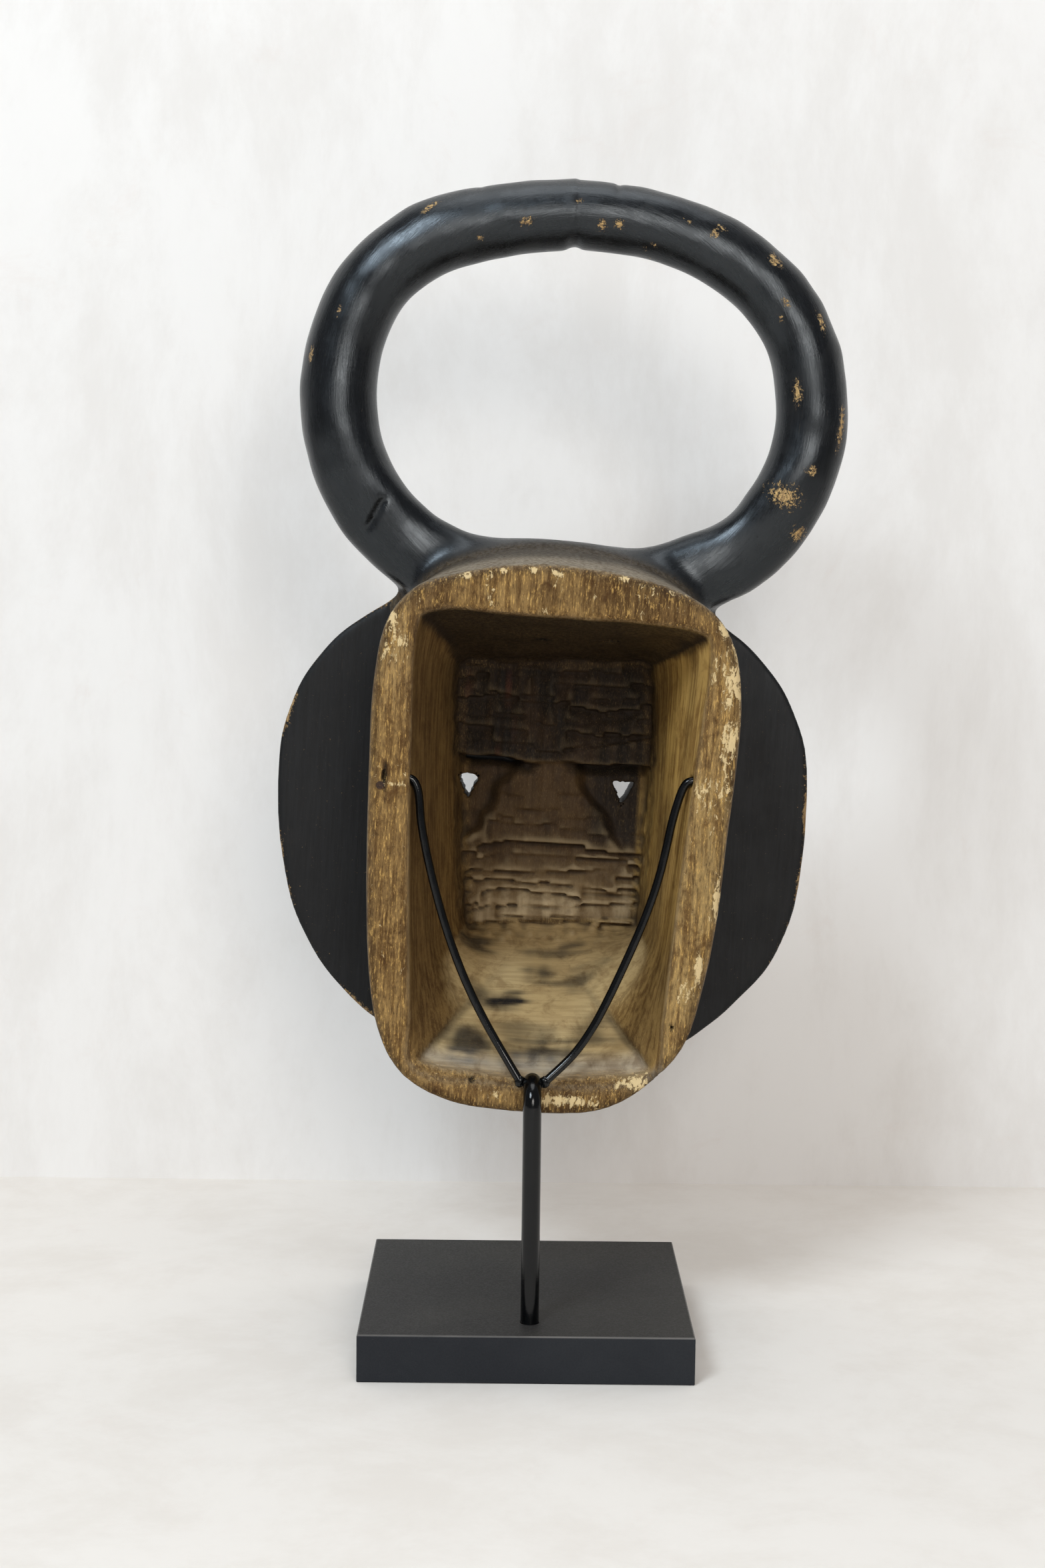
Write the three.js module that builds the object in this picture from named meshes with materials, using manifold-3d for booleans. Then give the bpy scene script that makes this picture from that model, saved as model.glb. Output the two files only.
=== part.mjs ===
// A carved wooden mask on a museum stand.
//
// The mask is a deep hood with a disc for a face, and two horns that rise from the crown and meet tip to tip
// as a ring. The stand is a square block with a bent steel rod. Two wires are welded to the rod's end, and
// their tips turn outwards into holes in the hood's side walls, so the mask hangs on them and its lower lip
// leans on the rod's end.
//
// Millimetres. +Z is up and +Y is the way the mask faces. The origin is the centre of the block's underside.

import * as THREE from "three";
import { mergeVertices } from "three/addons/utils/BufferGeometryUtils.js";
import Module from "manifold-3d";

const wasm = await Module();
wasm.setup();

// ---- Driving dimensions ----

const GAP = 0.3; // kept between pieces that touch

const BLOCK = { side: 180, height: 26, easing: 0.8 };
const ROD = {
  radius: 5,
  x: 2,
  y: -66,
  footDepth: 12, // how deep it stands in the block
  bendStartZ: 143,
  bendRadius: 12,
  endY: -50.5,
  steps: 44,
  sides: 16,
};
const SCREW = {
  shankRadius: 2.5,
  headRadius: 4.7,
  headHeight: 2.9,
  recessRadius: 7.5,
  recessDepth: 6,
  topZ: 24,
};
const WASHER = { radius: 6.6, thickness: 1.2 };
const WIRE = { radius: 2.3, beadRadius: 3.3, rootY: -54, steps: 56, sides: 8 };
const PIVOT = { y: -42, z: 318.5, boreRadius: 2.8, mouthRadius: 5, mouthDepth: 5, depth: 9.5 };

// The mask's own upright frame: x from its middle plane, z from the height of its eyes' upper edge.
const MASK = { x: 10, z: 318.4, leanDegrees: 2.8 };
const HOOD = { rimY: -50, frontY: 61.7, cavityY: 50, rimRound: 4 };
const HOOD_FRONT = { width: 0.88, above: 1.115, below: 0.88 }; // the outline's scale where it meets the face
const FACE = {
  backY: 62,
  depth: 18,
  x: -2.2,
  z: -20,
  halfWidth: 155.4,
  above: 128.6,
  below: 159,
  roundness: 2.4, // the exponent of its outline: 2 is an ellipse, and more is squarer
  chinShift: 0.045, // how far its lower half leans to the right, per millimetre down
};
const HORN = { y: 52, depth: 0.95, parting: 0.2, tipX: -3.6, steps: 36, sides: 18 };
const EYE = { x: 45.6, z: -8, width: 10.6, height: 11.4, proud: 11, sunk: 12 };
const MOUTH = {
  z: -116,
  width: 44,
  height: 17,
  proud: 13,
  sunk: 12,
  bevel: 2.5,
  teeth: 5,
  groove: 2.4,
  grooveDepth: 3,
};
const NAIL = { x: -91.4, z: -7.8, headRadius: 2.2, headHeight: 1, shankRadius: 1.1, length: 18 };

const LOOP_POINTS = 64; // on each round or outlined section

// The hood's outer edge at the rim, [x, z] in the mask's frame, anticlockwise as seen from behind.
const RIM_OUTER = [
  [5, 114], [-30, 112.8], [-62, 105.5], [-80, 97], [-93.3, 78], [-98, 45], [-97.8, 5], [-96, -55],
  [-91, -105], [-83, -139], [-67, -163], [-37, -178], [0, -182], [34, -178.5], [59, -163.5], [80, -140],
  [89.9, -105], [94.6, -68], [96.9, -26], [99.6, 16], [99.4, 50], [92.8, 79], [77, 97.5], [46, 109],
];

// The cavity's corners, from the upper right anticlockwise, and how far each side bows out:
// upper edge, left side, lower edge, right side.
const CAVITY_RIM = {
  corners: [[83, 84], [-78.2, 88], [-67, -160], [68.5, -157]],
  bows: [3, 2.7, 7.5, -1],
};
const CAVITY_END = {
  corners: [[54.9, 64], [-53.5, 57.5], [-42.2, -97.5], [57.2, -91.6]],
  bows: [0, 3, 0, 3.6],
};

// The face's sections: the height above its back, and the outline's scale there.
const FACE_DOME = [
  [0, 0.99], [2, 1], [9, 1], [13, 0.975], [16.5, 0.9], [19.5, 0.72], [21.5, 0.45], [22.5, 0.2],
];

// The raised drop around the right eye hole, [x, z] from the hole, anticlockwise as seen from behind.
const EYE_DROP = [
  [20, -4], [14, 10], [0, 15], [-14, 10], [-20, -4], [-20.5, -22], [-20, -40], [-18.5, -56], [-12, -42],
  [2, -24], [14, -15],
];

// Each horn's centre line, [x, z] in the mask's frame, from crown to tip, and its radius at both ends.
const HORNS = {
  horn_left: {
    line: [
      [0, 106], [-44, 107], [-82, 117.6], [-107.9, 139.8], [-125.2, 169.7], [-132.3, 203.8],
      [-129.5, 238.5], [-115.8, 270.1], [-90.6, 293.1], [-60.5, 305.6], [-31.5, 311.6], [-3.6, 315.1],
    ],
    radii: [23.4, 20.2],
  },
  horn_right: {
    line: [
      [0, 106], [48, 107], [99.5, 127], [122.9, 152.6], [136.5, 185.1], [138.2, 220.1],
      [128.6, 253.9], [107.4, 281], [80.3, 299.3], [51.4, 309.6], [23.2, 314.1], [-3.6, 315.1],
    ],
    radii: [23.4, 19.7],
  },
};

// Each wire's line, [x, z], from its weld on the rod to the start of its turned tip.
const WIRES = {
  fork_arm_left: {
    side: -1,
    line: [
      [-4.6, 155.4], [-10, 163.6], [-21, 181.8], [-31.6, 202.7], [-41.1, 223.6], [-47.9, 244.4],
      [-53.9, 267.2], [-58.2, 285.8], [-60.6, 300.5], [-61, 310],
    ],
    wallX: -64.7,
  },
  fork_arm_right: {
    side: 1,
    line: [
      [8.6, 155.2], [19.7, 164.4], [32, 180.3], [42.1, 199.3], [51.1, 218.3], [59.1, 235.1],
      [66, 256.1], [71.9, 276.9], [77.2, 299.8], [79.8, 310],
    ],
    wallX: 84.2,
  },
};

// ---- Materials ----

function finish(color, roughness, metalness = 0) {
  return new THREE.MeshStandardMaterial({ color, roughness, metalness });
}

const RAW_WOOD = finish(0x6b4d22, 0.8);
const BLACK_WOOD = finish(0x17171a, 0.55);
const BLOCK_PAINT = finish(0x1b1a1b, 0.7);
const BLACK_STEEL = finish(0x0c0c0e, 0.35, 0.4);
const BARE_STEEL = finish(0x8a8a88, 0.4, 1);
const OLD_IRON = finish(0x4a4b4d, 0.6, 0.8);

// ---- Solids ----

function solidOf(geometry) {
  const bare = geometry.clone();
  bare.deleteAttribute("normal");
  bare.deleteAttribute("uv");
  const merged = mergeVertices(bare, 1e-4);
  const vertProperties = merged.attributes.position.array;
  const triVerts = new Uint32Array(merged.index.array);
  return new wasm.Manifold(new wasm.Mesh({ numProp: 3, vertProperties, triVerts }));
}

function geometryOf(solid) {
  const mesh = solid.getMesh();
  const geometry = new THREE.BufferGeometry();
  geometry.setAttribute("position", new THREE.BufferAttribute(mesh.vertProperties, 3));
  geometry.setIndex(new THREE.BufferAttribute(mesh.triVerts, 1));
  return geometry;
}

const cut = (solid, ...tools) => tools.reduce((left, tool) => left.subtract(tool), solid);
const join = (solid, ...others) => others.reduce((sum, other) => sum.add(other), solid);

// A closed skin over sections with equally many points, each anticlockwise as seen against the way they run.
function loft(sections) {
  const count = sections[0].length;
  const points = sections.flat();
  const index = [];
  for (let s = 0; s + 1 < sections.length; s++) {
    for (let i = 0; i < count; i++) {
      const a = s * count + i;
      const b = s * count + ((i + 1) % count);
      index.push(a, a + count, b + count, a, b + count, b);
    }
  }
  const addCap = (section, first, turned) => {
    const middle = new THREE.Vector3();
    section.forEach((p) => middle.addScaledVector(p, 1 / count));
    const apex = points.push(middle) - 1;
    for (let i = 0; i < count; i++) {
      const edge = [first + i, first + ((i + 1) % count)];
      index.push(apex, ...(turned ? edge.reverse() : edge));
    }
  };
  addCap(sections[0], 0, false);
  addCap(sections.at(-1), (sections.length - 1) * count, true);
  return new THREE.BufferGeometry().setFromPoints(points).setIndex(index);
}

// A smooth closed loop through [x, z] points.
function smoothLoop(points) {
  const corners = points.map(([x, z]) => new THREE.Vector3(x, 0, z));
  const curve = new THREE.CatmullRomCurve3(corners, true);
  return Array.from({ length: LOOP_POINTS }, (_, i) => curve.getPoint(i / LOOP_POINTS));
}

// A loop through four corners, rounded a little, whose sides bow outwards.
function bowedQuad({ corners, bows }) {
  const points = corners.flatMap(([x0, z0], i) => {
    const [x1, z1] = corners[(i + 1) % corners.length];
    const length = Math.hypot(x1 - x0, z1 - z0);
    const out = [(z1 - z0) / length, (x0 - x1) / length];
    return [0.05, 0.25, 0.5, 0.75, 0.95].map((t) => {
      const bow = 4 * t * (1 - t) * bows[i];
      return [x0 + (x1 - x0) * t + out[0] * bow, z0 + (z1 - z0) * t + out[1] * bow];
    });
  });
  return smoothLoop(points);
}

// A loop at depth y, scaled about the middle, with separate scales above and below it.
function sectionAt(loop, y, width = 1, above = 1, below = 1) {
  return loop.map((p) => new THREE.Vector3(p.x * width, y, p.z * (p.z > 0 ? above : below)));
}

// The loop moved inwards (or outwards, below zero) by a distance.
function inset(loop, distance) {
  return loop.map((p, i) => {
    const along = loop[(i + 1) % loop.length].clone().sub(loop.at(i - 1)).normalize();
    return new THREE.Vector3(p.x - along.z * distance, p.y, p.z + along.x * distance);
  });
}

function revolve(profile, sides = 32) {
  const lathe = new THREE.LatheGeometry(profile.map(([r, z]) => new THREE.Vector2(r, z)), sides);
  return lathe.rotateX(Math.PI / 2);
}

function roundBar(curve, radius, steps, sides) {
  const circle = new THREE.Shape();
  for (let i = 0; i < sides; i++) {
    const angle = (2 * Math.PI * i) / sides;
    const [x, y] = [radius * Math.cos(angle), radius * Math.sin(angle)];
    i ? circle.lineTo(x, y) : circle.moveTo(x, y);
  }
  circle.closePath();
  return new THREE.ExtrudeGeometry(circle, { steps, extrudePath: curve, bevelEnabled: false });
}

// A flat outline in x and z, thickened along +Y from y, with both ends bevelled.
function plate(shape, y, depth, bevel) {
  const options = { bevelEnabled: bevel > 0, bevelThickness: bevel, bevelSize: bevel, bevelOffset: -bevel };
  const slab = new THREE.ExtrudeGeometry(shape, { depth: depth - 2 * bevel, bevelSegments: 3, ...options });
  return slab.rotateX(Math.PI / 2).translate(0, y + depth - bevel, 0);
}

// ---- The stand ----

function blockSolid() {
  const half = BLOCK.side / 2 - BLOCK.easing;
  const square = new THREE.Shape([
    new THREE.Vector2(-half, -half),
    new THREE.Vector2(half, -half),
    new THREE.Vector2(half, half),
    new THREE.Vector2(-half, half),
  ]);
  const eased = { bevelThickness: BLOCK.easing, bevelSize: BLOCK.easing, bevelSegments: 2 };
  const body = new THREE.ExtrudeGeometry(square, { depth: BLOCK.height - 2 * BLOCK.easing, ...eased });
  const seat = BLOCK.height - ROD.footDepth;
  const boring = revolve([
    [0, -1],
    [SCREW.recessRadius, -1],
    [SCREW.recessRadius, SCREW.recessDepth],
    [SCREW.shankRadius + GAP, SCREW.recessDepth],
    [SCREW.shankRadius + GAP, seat],
    [ROD.radius + GAP, seat],
    [ROD.radius + GAP, BLOCK.height + 1],
    [0, BLOCK.height + 1],
  ]);
  return cut(solidOf(body.translate(0, 0, BLOCK.easing)), solidOf(boring.translate(ROD.x, ROD.y, 0)));
}

// The rod's centre line: straight up, a quarter turn towards the mask, and a short level end.
function rodLine() {
  const foot = new THREE.Vector3(ROD.x, ROD.y, BLOCK.height - ROD.footDepth + GAP);
  const bendStart = new THREE.Vector3(ROD.x, ROD.y, ROD.bendStartZ);
  const bendEnd = new THREE.Vector3(ROD.x, ROD.y + ROD.bendRadius, ROD.bendStartZ + ROD.bendRadius);
  const end = new THREE.Vector3(ROD.x, ROD.endY, bendEnd.z);
  const handle = ROD.bendRadius * 0.5523; // a cubic's handle for a quarter circle
  const line = new THREE.CurvePath();
  line.add(new THREE.LineCurve3(foot, bendStart));
  line.add(
    new THREE.CubicBezierCurve3(
      bendStart,
      bendStart.clone().setZ(bendStart.z + handle),
      bendEnd.clone().setY(bendEnd.y - handle),
      bendEnd,
    ),
  );
  line.add(new THREE.LineCurve3(bendEnd, end));
  return line;
}

const rodBar = (radius) => solidOf(roundBar(rodLine(), radius, ROD.steps, ROD.sides));

function rodSolid() {
  const [radius, top] = [SCREW.shankRadius + GAP, SCREW.topZ + GAP];
  const socket = new THREE.CylinderGeometry(radius, radius, top, 24).rotateX(Math.PI / 2);
  return cut(rodBar(ROD.radius), solidOf(socket.translate(ROD.x, ROD.y, top / 2)));
}

function washerGeometry() {
  const top = SCREW.recessDepth - GAP;
  const bore = SCREW.shankRadius + GAP;
  const ring = revolve([
    [bore, top - WASHER.thickness],
    [WASHER.radius, top - WASHER.thickness],
    [WASHER.radius, top],
    [bore, top],
    [bore, top - WASHER.thickness],
  ]);
  return ring.translate(ROD.x, ROD.y, 0);
}

function screwGeometry() {
  const under = SCREW.recessDepth - WASHER.thickness - 2 * GAP;
  const low = under - SCREW.headHeight;
  const profile = [
    [0, low],
    [SCREW.headRadius * 0.7, low],
    [SCREW.headRadius, low + SCREW.headHeight * 0.45],
    [SCREW.headRadius, under],
    [SCREW.shankRadius, under],
    [SCREW.shankRadius, SCREW.topZ - 1],
    [SCREW.shankRadius - 1, SCREW.topZ],
    [0, SCREW.topZ],
  ];
  return revolve(profile, 24).translate(ROD.x, ROD.y, 0);
}

// A wire runs from a weld bead on the rod, up the mouth of the hood, and turns outwards along the pivot.
function wireSolid({ side, line, wallX }) {
  const [, rootZ] = line[0];
  const rise = PIVOT.z - rootZ;
  const depthAt = (z) => WIRE.rootY + (PIVOT.y - WIRE.rootY) * Math.sqrt(Math.max(0, z - rootZ) / rise);
  const points = line.map(([x, z]) => new THREE.Vector3(x, depthAt(z), z));
  points.push(
    new THREE.Vector3(wallX - side * 1.2, PIVOT.y, PIVOT.z - 2),
    new THREE.Vector3(wallX + side * 2, PIVOT.y, PIVOT.z),
    new THREE.Vector3(wallX + side * (PIVOT.depth - 1), PIVOT.y, PIVOT.z),
  );
  const curve = new THREE.CatmullRomCurve3(points, false, "centripetal");
  const bead = new THREE.SphereGeometry(WIRE.beadRadius, 12, 8);
  bead.scale(1, 0.8, 1.1).translate(points[0].x, points[0].y, points[0].z);
  const wire = join(solidOf(roundBar(curve, WIRE.radius, WIRE.steps, WIRE.sides)), solidOf(bead));
  return cut(wire, rodBar(ROD.radius + GAP));
}

// ---- The mask, in its own frame ----

const maskGroup = new THREE.Group();
maskGroup.position.set(MASK.x, 0, MASK.z);
maskGroup.rotation.y = THREE.MathUtils.degToRad(MASK.leanDegrees);
maskGroup.updateMatrixWorld(true);

// Turns a shape given in the stand's frame into the mask's.
const inMask = (geometry) => geometry.applyMatrix4(maskGroup.matrixWorld.clone().invert());

// The hood's outside. A margin swells it, to clear room for it in its neighbours.
function hoodBody(margin = 0) {
  const rim = inset(smoothLoop(RIM_OUTER), -margin);
  const { width, above, below } = HOOD_FRONT;
  const at = (y, loop = rim) => {
    const t = (y - HOOD.rimY) / (HOOD.frontY - HOOD.rimY);
    return sectionAt(loop, y, 1 + (width - 1) * t, 1 + (above - 1) * t, 1 + (below - 1) * t);
  };
  return solidOf(
    loft([
      at(HOOD.rimY - margin, inset(rim, HOOD.rimRound)),
      at(HOOD.rimY + HOOD.rimRound * 0.3, inset(rim, HOOD.rimRound * 0.3)),
      at(HOOD.rimY + HOOD.rimRound),
      at(0),
      at(HOOD.frontY + margin),
    ]),
  );
}

function cavitySolid() {
  const rim = bowedQuad(CAVITY_RIM);
  const end = bowedQuad(CAVITY_END);
  const mouth = [sectionAt(rim, HOOD.rimY - 1), sectionAt(rim, HOOD.rimY)];
  return solidOf(loft([...mouth, sectionAt(end, HOOD.cavityY)]));
}

// The hole in a side wall that a wire's tip turns in, flared at its mouth.
function pivotBore({ side, wallX }) {
  const bore = revolve(
    [
      [0, -PIVOT.mouthDepth],
      [PIVOT.mouthRadius, -PIVOT.mouthDepth],
      [PIVOT.mouthRadius, 0],
      [PIVOT.boreRadius, PIVOT.mouthDepth],
      [PIVOT.boreRadius, PIVOT.depth],
      [0, PIVOT.depth],
    ],
    20,
  );
  bore.rotateY((side * Math.PI) / 2).translate(wallX, PIVOT.y, PIVOT.z);
  return solidOf(inMask(bore));
}

// A nail with a flat head, driven into the rim from behind. A margin swells it, to make its hole.
function nailGeometry(margin = 0) {
  const face = -GAP / 2;
  const profile = [
    [0, face - margin],
    [NAIL.headRadius + margin, face - margin],
    [NAIL.headRadius + margin, face + NAIL.headHeight + margin],
    [NAIL.shankRadius + margin, face + NAIL.headHeight + margin],
    [NAIL.shankRadius + margin, face + NAIL.length * 0.85],
    [0, face + NAIL.length + margin],
  ];
  return revolve(profile, 16).rotateX(-Math.PI / 2).translate(NAIL.x, HOOD.rimY, NAIL.z);
}

// A sight hole: a triangle, point down, right through the hood's end wall and the face.
function eyeHole(side) {
  const shape = new THREE.Shape([
    new THREE.Vector2(-EYE.width / 2, 0),
    new THREE.Vector2(0, -EYE.height),
    new THREE.Vector2(EYE.width / 2, 0),
  ]);
  const start = HOOD.cavityY - 5;
  const prism = plate(shape, start, FACE.backY + FACE.depth + 2 * EYE.proud - start, 0);
  return solidOf(prism.translate(side * EYE.x, 0, EYE.z));
}

function faceOutline() {
  const power = 2 / FACE.roundness;
  const bend = (value) => Math.sign(value) * Math.abs(value) ** power;
  return Array.from({ length: LOOP_POINTS }, (_, i) => {
    const angle = (2 * Math.PI * i) / LOOP_POINTS;
    const z = (Math.sin(angle) > 0 ? FACE.above : FACE.below) * bend(Math.sin(angle));
    const x = FACE.halfWidth * bend(Math.cos(angle)) - FACE.chinShift * Math.min(z, 0);
    return new THREE.Vector3(x, 0, z);
  });
}

// The face's disc: flat behind, slightly domed in front.
function discSolid(margin = 0) {
  const outline = inset(faceOutline(), -margin);
  const sections = FACE_DOME.map(([rise, scale], i) => {
    return sectionAt(outline, FACE.backY + rise - (i ? 0 : margin), scale, scale, scale);
  });
  return solidOf(loft(sections).translate(FACE.x, 0, FACE.z));
}

// A raised, crowned drop around an eye hole, with its tail towards the mouth.
function eyeBoss(side) {
  const outline = EYE_DROP.map(([x, z]) => [side * (EYE.x + x), EYE.z + z]);
  const loop = smoothLoop(side > 0 ? outline : outline.reverse());
  const crown = [[-EYE.sunk, 0], [EYE.proud - 4, 0], [EYE.proud - 1, 1.5], [EYE.proud, 4]];
  const surface = FACE.backY + FACE.depth;
  return solidOf(loft(crown.map(([rise, inwards]) => sectionAt(inset(loop, inwards), surface + rise))));
}

function mouthSolid() {
  const [w, h] = [MOUTH.width / 2, MOUTH.height / 2];
  const shape = new THREE.Shape([
    new THREE.Vector2(-w, -h),
    new THREE.Vector2(w, -h),
    new THREE.Vector2(w, h),
    new THREE.Vector2(-w, h),
  ]);
  const surface = FACE.backY + FACE.depth;
  const block = plate(shape, surface - MOUTH.sunk, MOUTH.sunk + MOUTH.proud, MOUTH.bevel);
  const pitch = MOUTH.width / MOUTH.teeth;
  const grooveHeight = MOUTH.height - 2 * MOUTH.bevel;
  const grooves = Array.from({ length: MOUTH.teeth - 1 }, (_, i) => {
    const groove = new THREE.BoxGeometry(MOUTH.groove, 2 * MOUTH.grooveDepth, grooveHeight);
    return solidOf(groove.translate((i + 1) * pitch - w, surface + MOUTH.proud, MOUTH.z));
  });
  return cut(solidOf(block.translate(0, 0, MOUTH.z)), ...grooves);
}

function hornSolid({ line, radii }, side) {
  const points = line.map(([x, z]) => new THREE.Vector3(x, HORN.y, z));
  const curve = new THREE.CatmullRomCurve3(points, false, "centripetal");
  const sections = Array.from({ length: HORN.steps + 1 }, (_, s) => {
    const t = s / HORN.steps;
    const centre = curve.getPointAt(t);
    const along = curve.getTangentAt(t);
    const radius = THREE.MathUtils.lerp(radii[0], radii[1], t);
    return Array.from({ length: HORN.sides }, (_, i) => {
      const angle = (2 * Math.PI * i) / HORN.sides;
      const across = radius * Math.cos(angle);
      const deep = radius * HORN.depth * Math.sin(angle);
      return new THREE.Vector3(centre.x - along.z * across, HORN.y + deep, centre.z + along.x * across);
    });
  });
  return cut(solidOf(loft(sections)), otherHalf(side), hoodBody(GAP), discSolid(GAP));
}

// The space that a horn leaves to the other one: the roots part at the middle plane, the tips at tipX.
function otherHalf(side) {
  const size = 400; // larger than a horn
  const halfway = HORNS.horn_left.line[5][1];
  const half = (x, middleZ) => {
    const box = new THREE.BoxGeometry(size, size, size);
    return solidOf(box.translate(x - side * (size / 2 - HORN.parting), HORN.y, middleZ));
  };
  return join(half(0, halfway - size / 2), half(HORN.tipX, halfway + size / 2));
}

function hoodSolid() {
  const bores = Object.values(WIRES).map(pivotBore);
  return cut(hoodBody(), cavitySolid(), eyeHole(-1), eyeHole(1), ...bores, solidOf(nailGeometry(GAP)));
}

function faceSolid() {
  const carved = join(discSolid(), eyeBoss(-1), eyeBoss(1), mouthSolid());
  return cut(carved, eyeHole(-1), eyeHole(1));
}

// ---- Assembly ----

function part(name, shape, material) {
  const mesh = new THREE.Mesh(shape.isBufferGeometry ? shape : geometryOf(shape), material);
  mesh.name = name;
  return mesh;
}

const stand = new THREE.Group();
stand.add(part("base_block", blockSolid(), BLOCK_PAINT));
stand.add(part("stem_rod", rodSolid(), BLACK_STEEL));
stand.add(part("stem_screw", screwGeometry(), BARE_STEEL));
stand.add(part("screw_washer", washerGeometry(), BARE_STEEL));
for (const [name, wire] of Object.entries(WIRES)) stand.add(part(name, wireSolid(wire), BLACK_STEEL));

maskGroup.add(part("hood_shell", hoodSolid(), RAW_WOOD));
maskGroup.add(part("face_disc", faceSolid(), BLACK_WOOD));
maskGroup.add(part("horn_left", hornSolid(HORNS.horn_left, -1), BLACK_WOOD));
maskGroup.add(part("horn_right", hornSolid(HORNS.horn_right, 1), BLACK_WOOD));
maskGroup.add(part("rim_nail", nailGeometry(), OLD_IRON));

const group = new THREE.Group();
group.add(stand, maskGroup);

export default group;
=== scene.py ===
"""A carved wooden mask on a museum stand, seen from behind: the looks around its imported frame.

Blender works in metres in the row frame. The carving is shaped in millimetres in the mask's own upright
frame, whose origin is between its eyes, and leaned into the row frame at the end.
"""

import math

import bmesh
import bpy
import numpy as np
import openvdb
from mathutils import Matrix, Vector


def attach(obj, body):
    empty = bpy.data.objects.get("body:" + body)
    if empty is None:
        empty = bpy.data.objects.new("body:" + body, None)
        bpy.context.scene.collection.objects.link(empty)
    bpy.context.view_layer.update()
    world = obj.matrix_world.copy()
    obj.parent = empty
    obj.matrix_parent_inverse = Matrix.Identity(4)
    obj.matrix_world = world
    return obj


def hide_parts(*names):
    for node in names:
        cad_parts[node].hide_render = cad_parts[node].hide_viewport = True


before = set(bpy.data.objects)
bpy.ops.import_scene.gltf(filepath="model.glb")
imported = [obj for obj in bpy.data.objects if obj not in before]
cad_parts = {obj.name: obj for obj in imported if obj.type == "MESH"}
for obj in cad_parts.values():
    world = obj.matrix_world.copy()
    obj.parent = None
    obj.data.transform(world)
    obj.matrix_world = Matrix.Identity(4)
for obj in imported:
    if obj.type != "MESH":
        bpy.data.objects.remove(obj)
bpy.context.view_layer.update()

MM = 0.001
SEED = 17

# ---- Sizes of the carving, in millimetres, in the mask's frame ----

MASK_X, MASK_Z, LEAN = 10.0, 318.4, math.radians(2.8)
RIM_Y, FRONT_Y, CAVITY_Y = -50.0, 61.7, 50.0
FRONT_WIDTH, FRONT_ABOVE, FRONT_BELOW = 0.88, 1.115, 0.88
SPLIT_Y = 61.85  # the hood and the face are separate pieces of one surface, and meet here

# Outlines as [x, z], anticlockwise as seen from behind. A scratch program turned points of the photo into
# these and the horns' and wires' lines, in millimetres. They should be arcs and curves.
RIM_OUTER = [
    [5, 114], [-30, 112.8], [-62, 105.5], [-80, 97], [-93.3, 78], [-98, 45], [-97.8, 5], [-96, -55],
    [-92, -106], [-85.5, -141], [-70, -166], [-39, -179.5], [0, -182], [35, -179], [60.5, -165], [80.5, -141],
    [89.9, -105], [94.6, -68], [96.9, -26], [99.6, 16], [99.4, 50], [92.8, 79], [77, 97.5], [46, 109],
]
CAVITY_RIM = [[83, 84], [-78.2, 88], [-67, -160], [68.5, -157]], [3, 2.7, 7.5, -1]
CAVITY_END = [[54.9, 64], [-53.5, 57.5], [-42.2, -97.5], [57.2, -91.6]], [0, 3, 0, 3.6]

FACE_X, FACE_Z, FACE_BACK, CHIN_SHIFT = -2.2, -20.0, 62.0, 0.045
FACE_HALF_WIDTH, FACE_ABOVE, FACE_BELOW, FACE_POWER = 155.4, 128.6, 159.0, 2.4
FACE_DEPTH = 22.6
FACE_TRIMS = [(-48, 14, 0.02), (42, 16, 0.008), (138, 16, 0.009)]  # flatter spots: turn, spread and share

HORN_Y, HORN_FLATNESS, TIP_X = 52.0, 0.95, -3.6
HORN_LEFT = [
    [0, 104], [-44, 106.5], [-81, 119], [-107.3, 140.4], [-125.2, 169.7], [-132.3, 203.8],
    [-129.5, 238.5], [-115.8, 270.1], [-90.6, 293.1], [-60.5, 305.6], [-31.5, 311.6], [-3.6, 315.1],
]
HORN_RIGHT = [
    [0, 104], [48, 106.5], [99.5, 127], [122.9, 152.6], [136.5, 185.1], [138.2, 220.1],
    [128.6, 253.9], [107.4, 281], [80.3, 299.3], [51.4, 309.6], [23.2, 314.1], [-3.6, 315.1],
]
HORN_RADII = {-1: (23.4, 20.2), 1: (23.4, 19.7)}
RING_MIDDLE, RING_REACH = np.array([2.0, 212.0]), 125
CROWN_BACK = 35.5
NOTCH_DEPTH, NOTCH_WIDTH = 2.4, 3.5  # where the tips meet
GASH_X, GASH_Z, GASH_SLOPE, GASH_WIDTH, GASH_DEPTH = -107, 138.7, 0.45, 1.8, 2.2
NICKS, NICK_WIDTH = (-58, 20, 98), 1.6  # small cuts along the ring's top
HORN_CUTS = math.radians(215), math.radians(325)  # where the horns leave the crown, about the ring's middle

EYE_X, EYE_Z, EYE_WIDTH, EYE_HEIGHT, EYE_PROUD = 45.6, -8.0, 12.2, 13.4, 11.0
EYE_HOLES = [(-45.4, -8.0), (44.8, -7.4)]
EYE_DROP = [
    [20, -4], [14, 10], [0, 15], [-14, 10], [-20, -4], [-20.5, -22], [-20, -40], [-18.5, -56], [-12, -42],
    [2, -24], [14, -15],
]
MOUTH_Z, MOUTH_WIDTH, MOUTH_HEIGHT, MOUTH_TEETH = -116.0, 44.0, 17.0, 5
FACE_FRONT = 93.0
RELIEF_ROOT = FACE_BACK + FACE_DEPTH - 17  # how deep the relief reaches into the face

PIVOT_Y, PIVOT_Z = -42.0, 318.5  # the hinge line, in the row frame
WALLS = {-1: -64.7, 1: 84.2}  # where the wires' tips enter the side walls
HOLE_MOUTH, HOLE_RADIUS, HOLE_DEPTH = 4.8, 2.7, 9.3

HORN_FILLET, DISC_FILLET, TEMPLE_FILLET, RELIEF_FILLET, CAVITY_EDGE = 14, 5, 11, 2.5, 4

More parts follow.
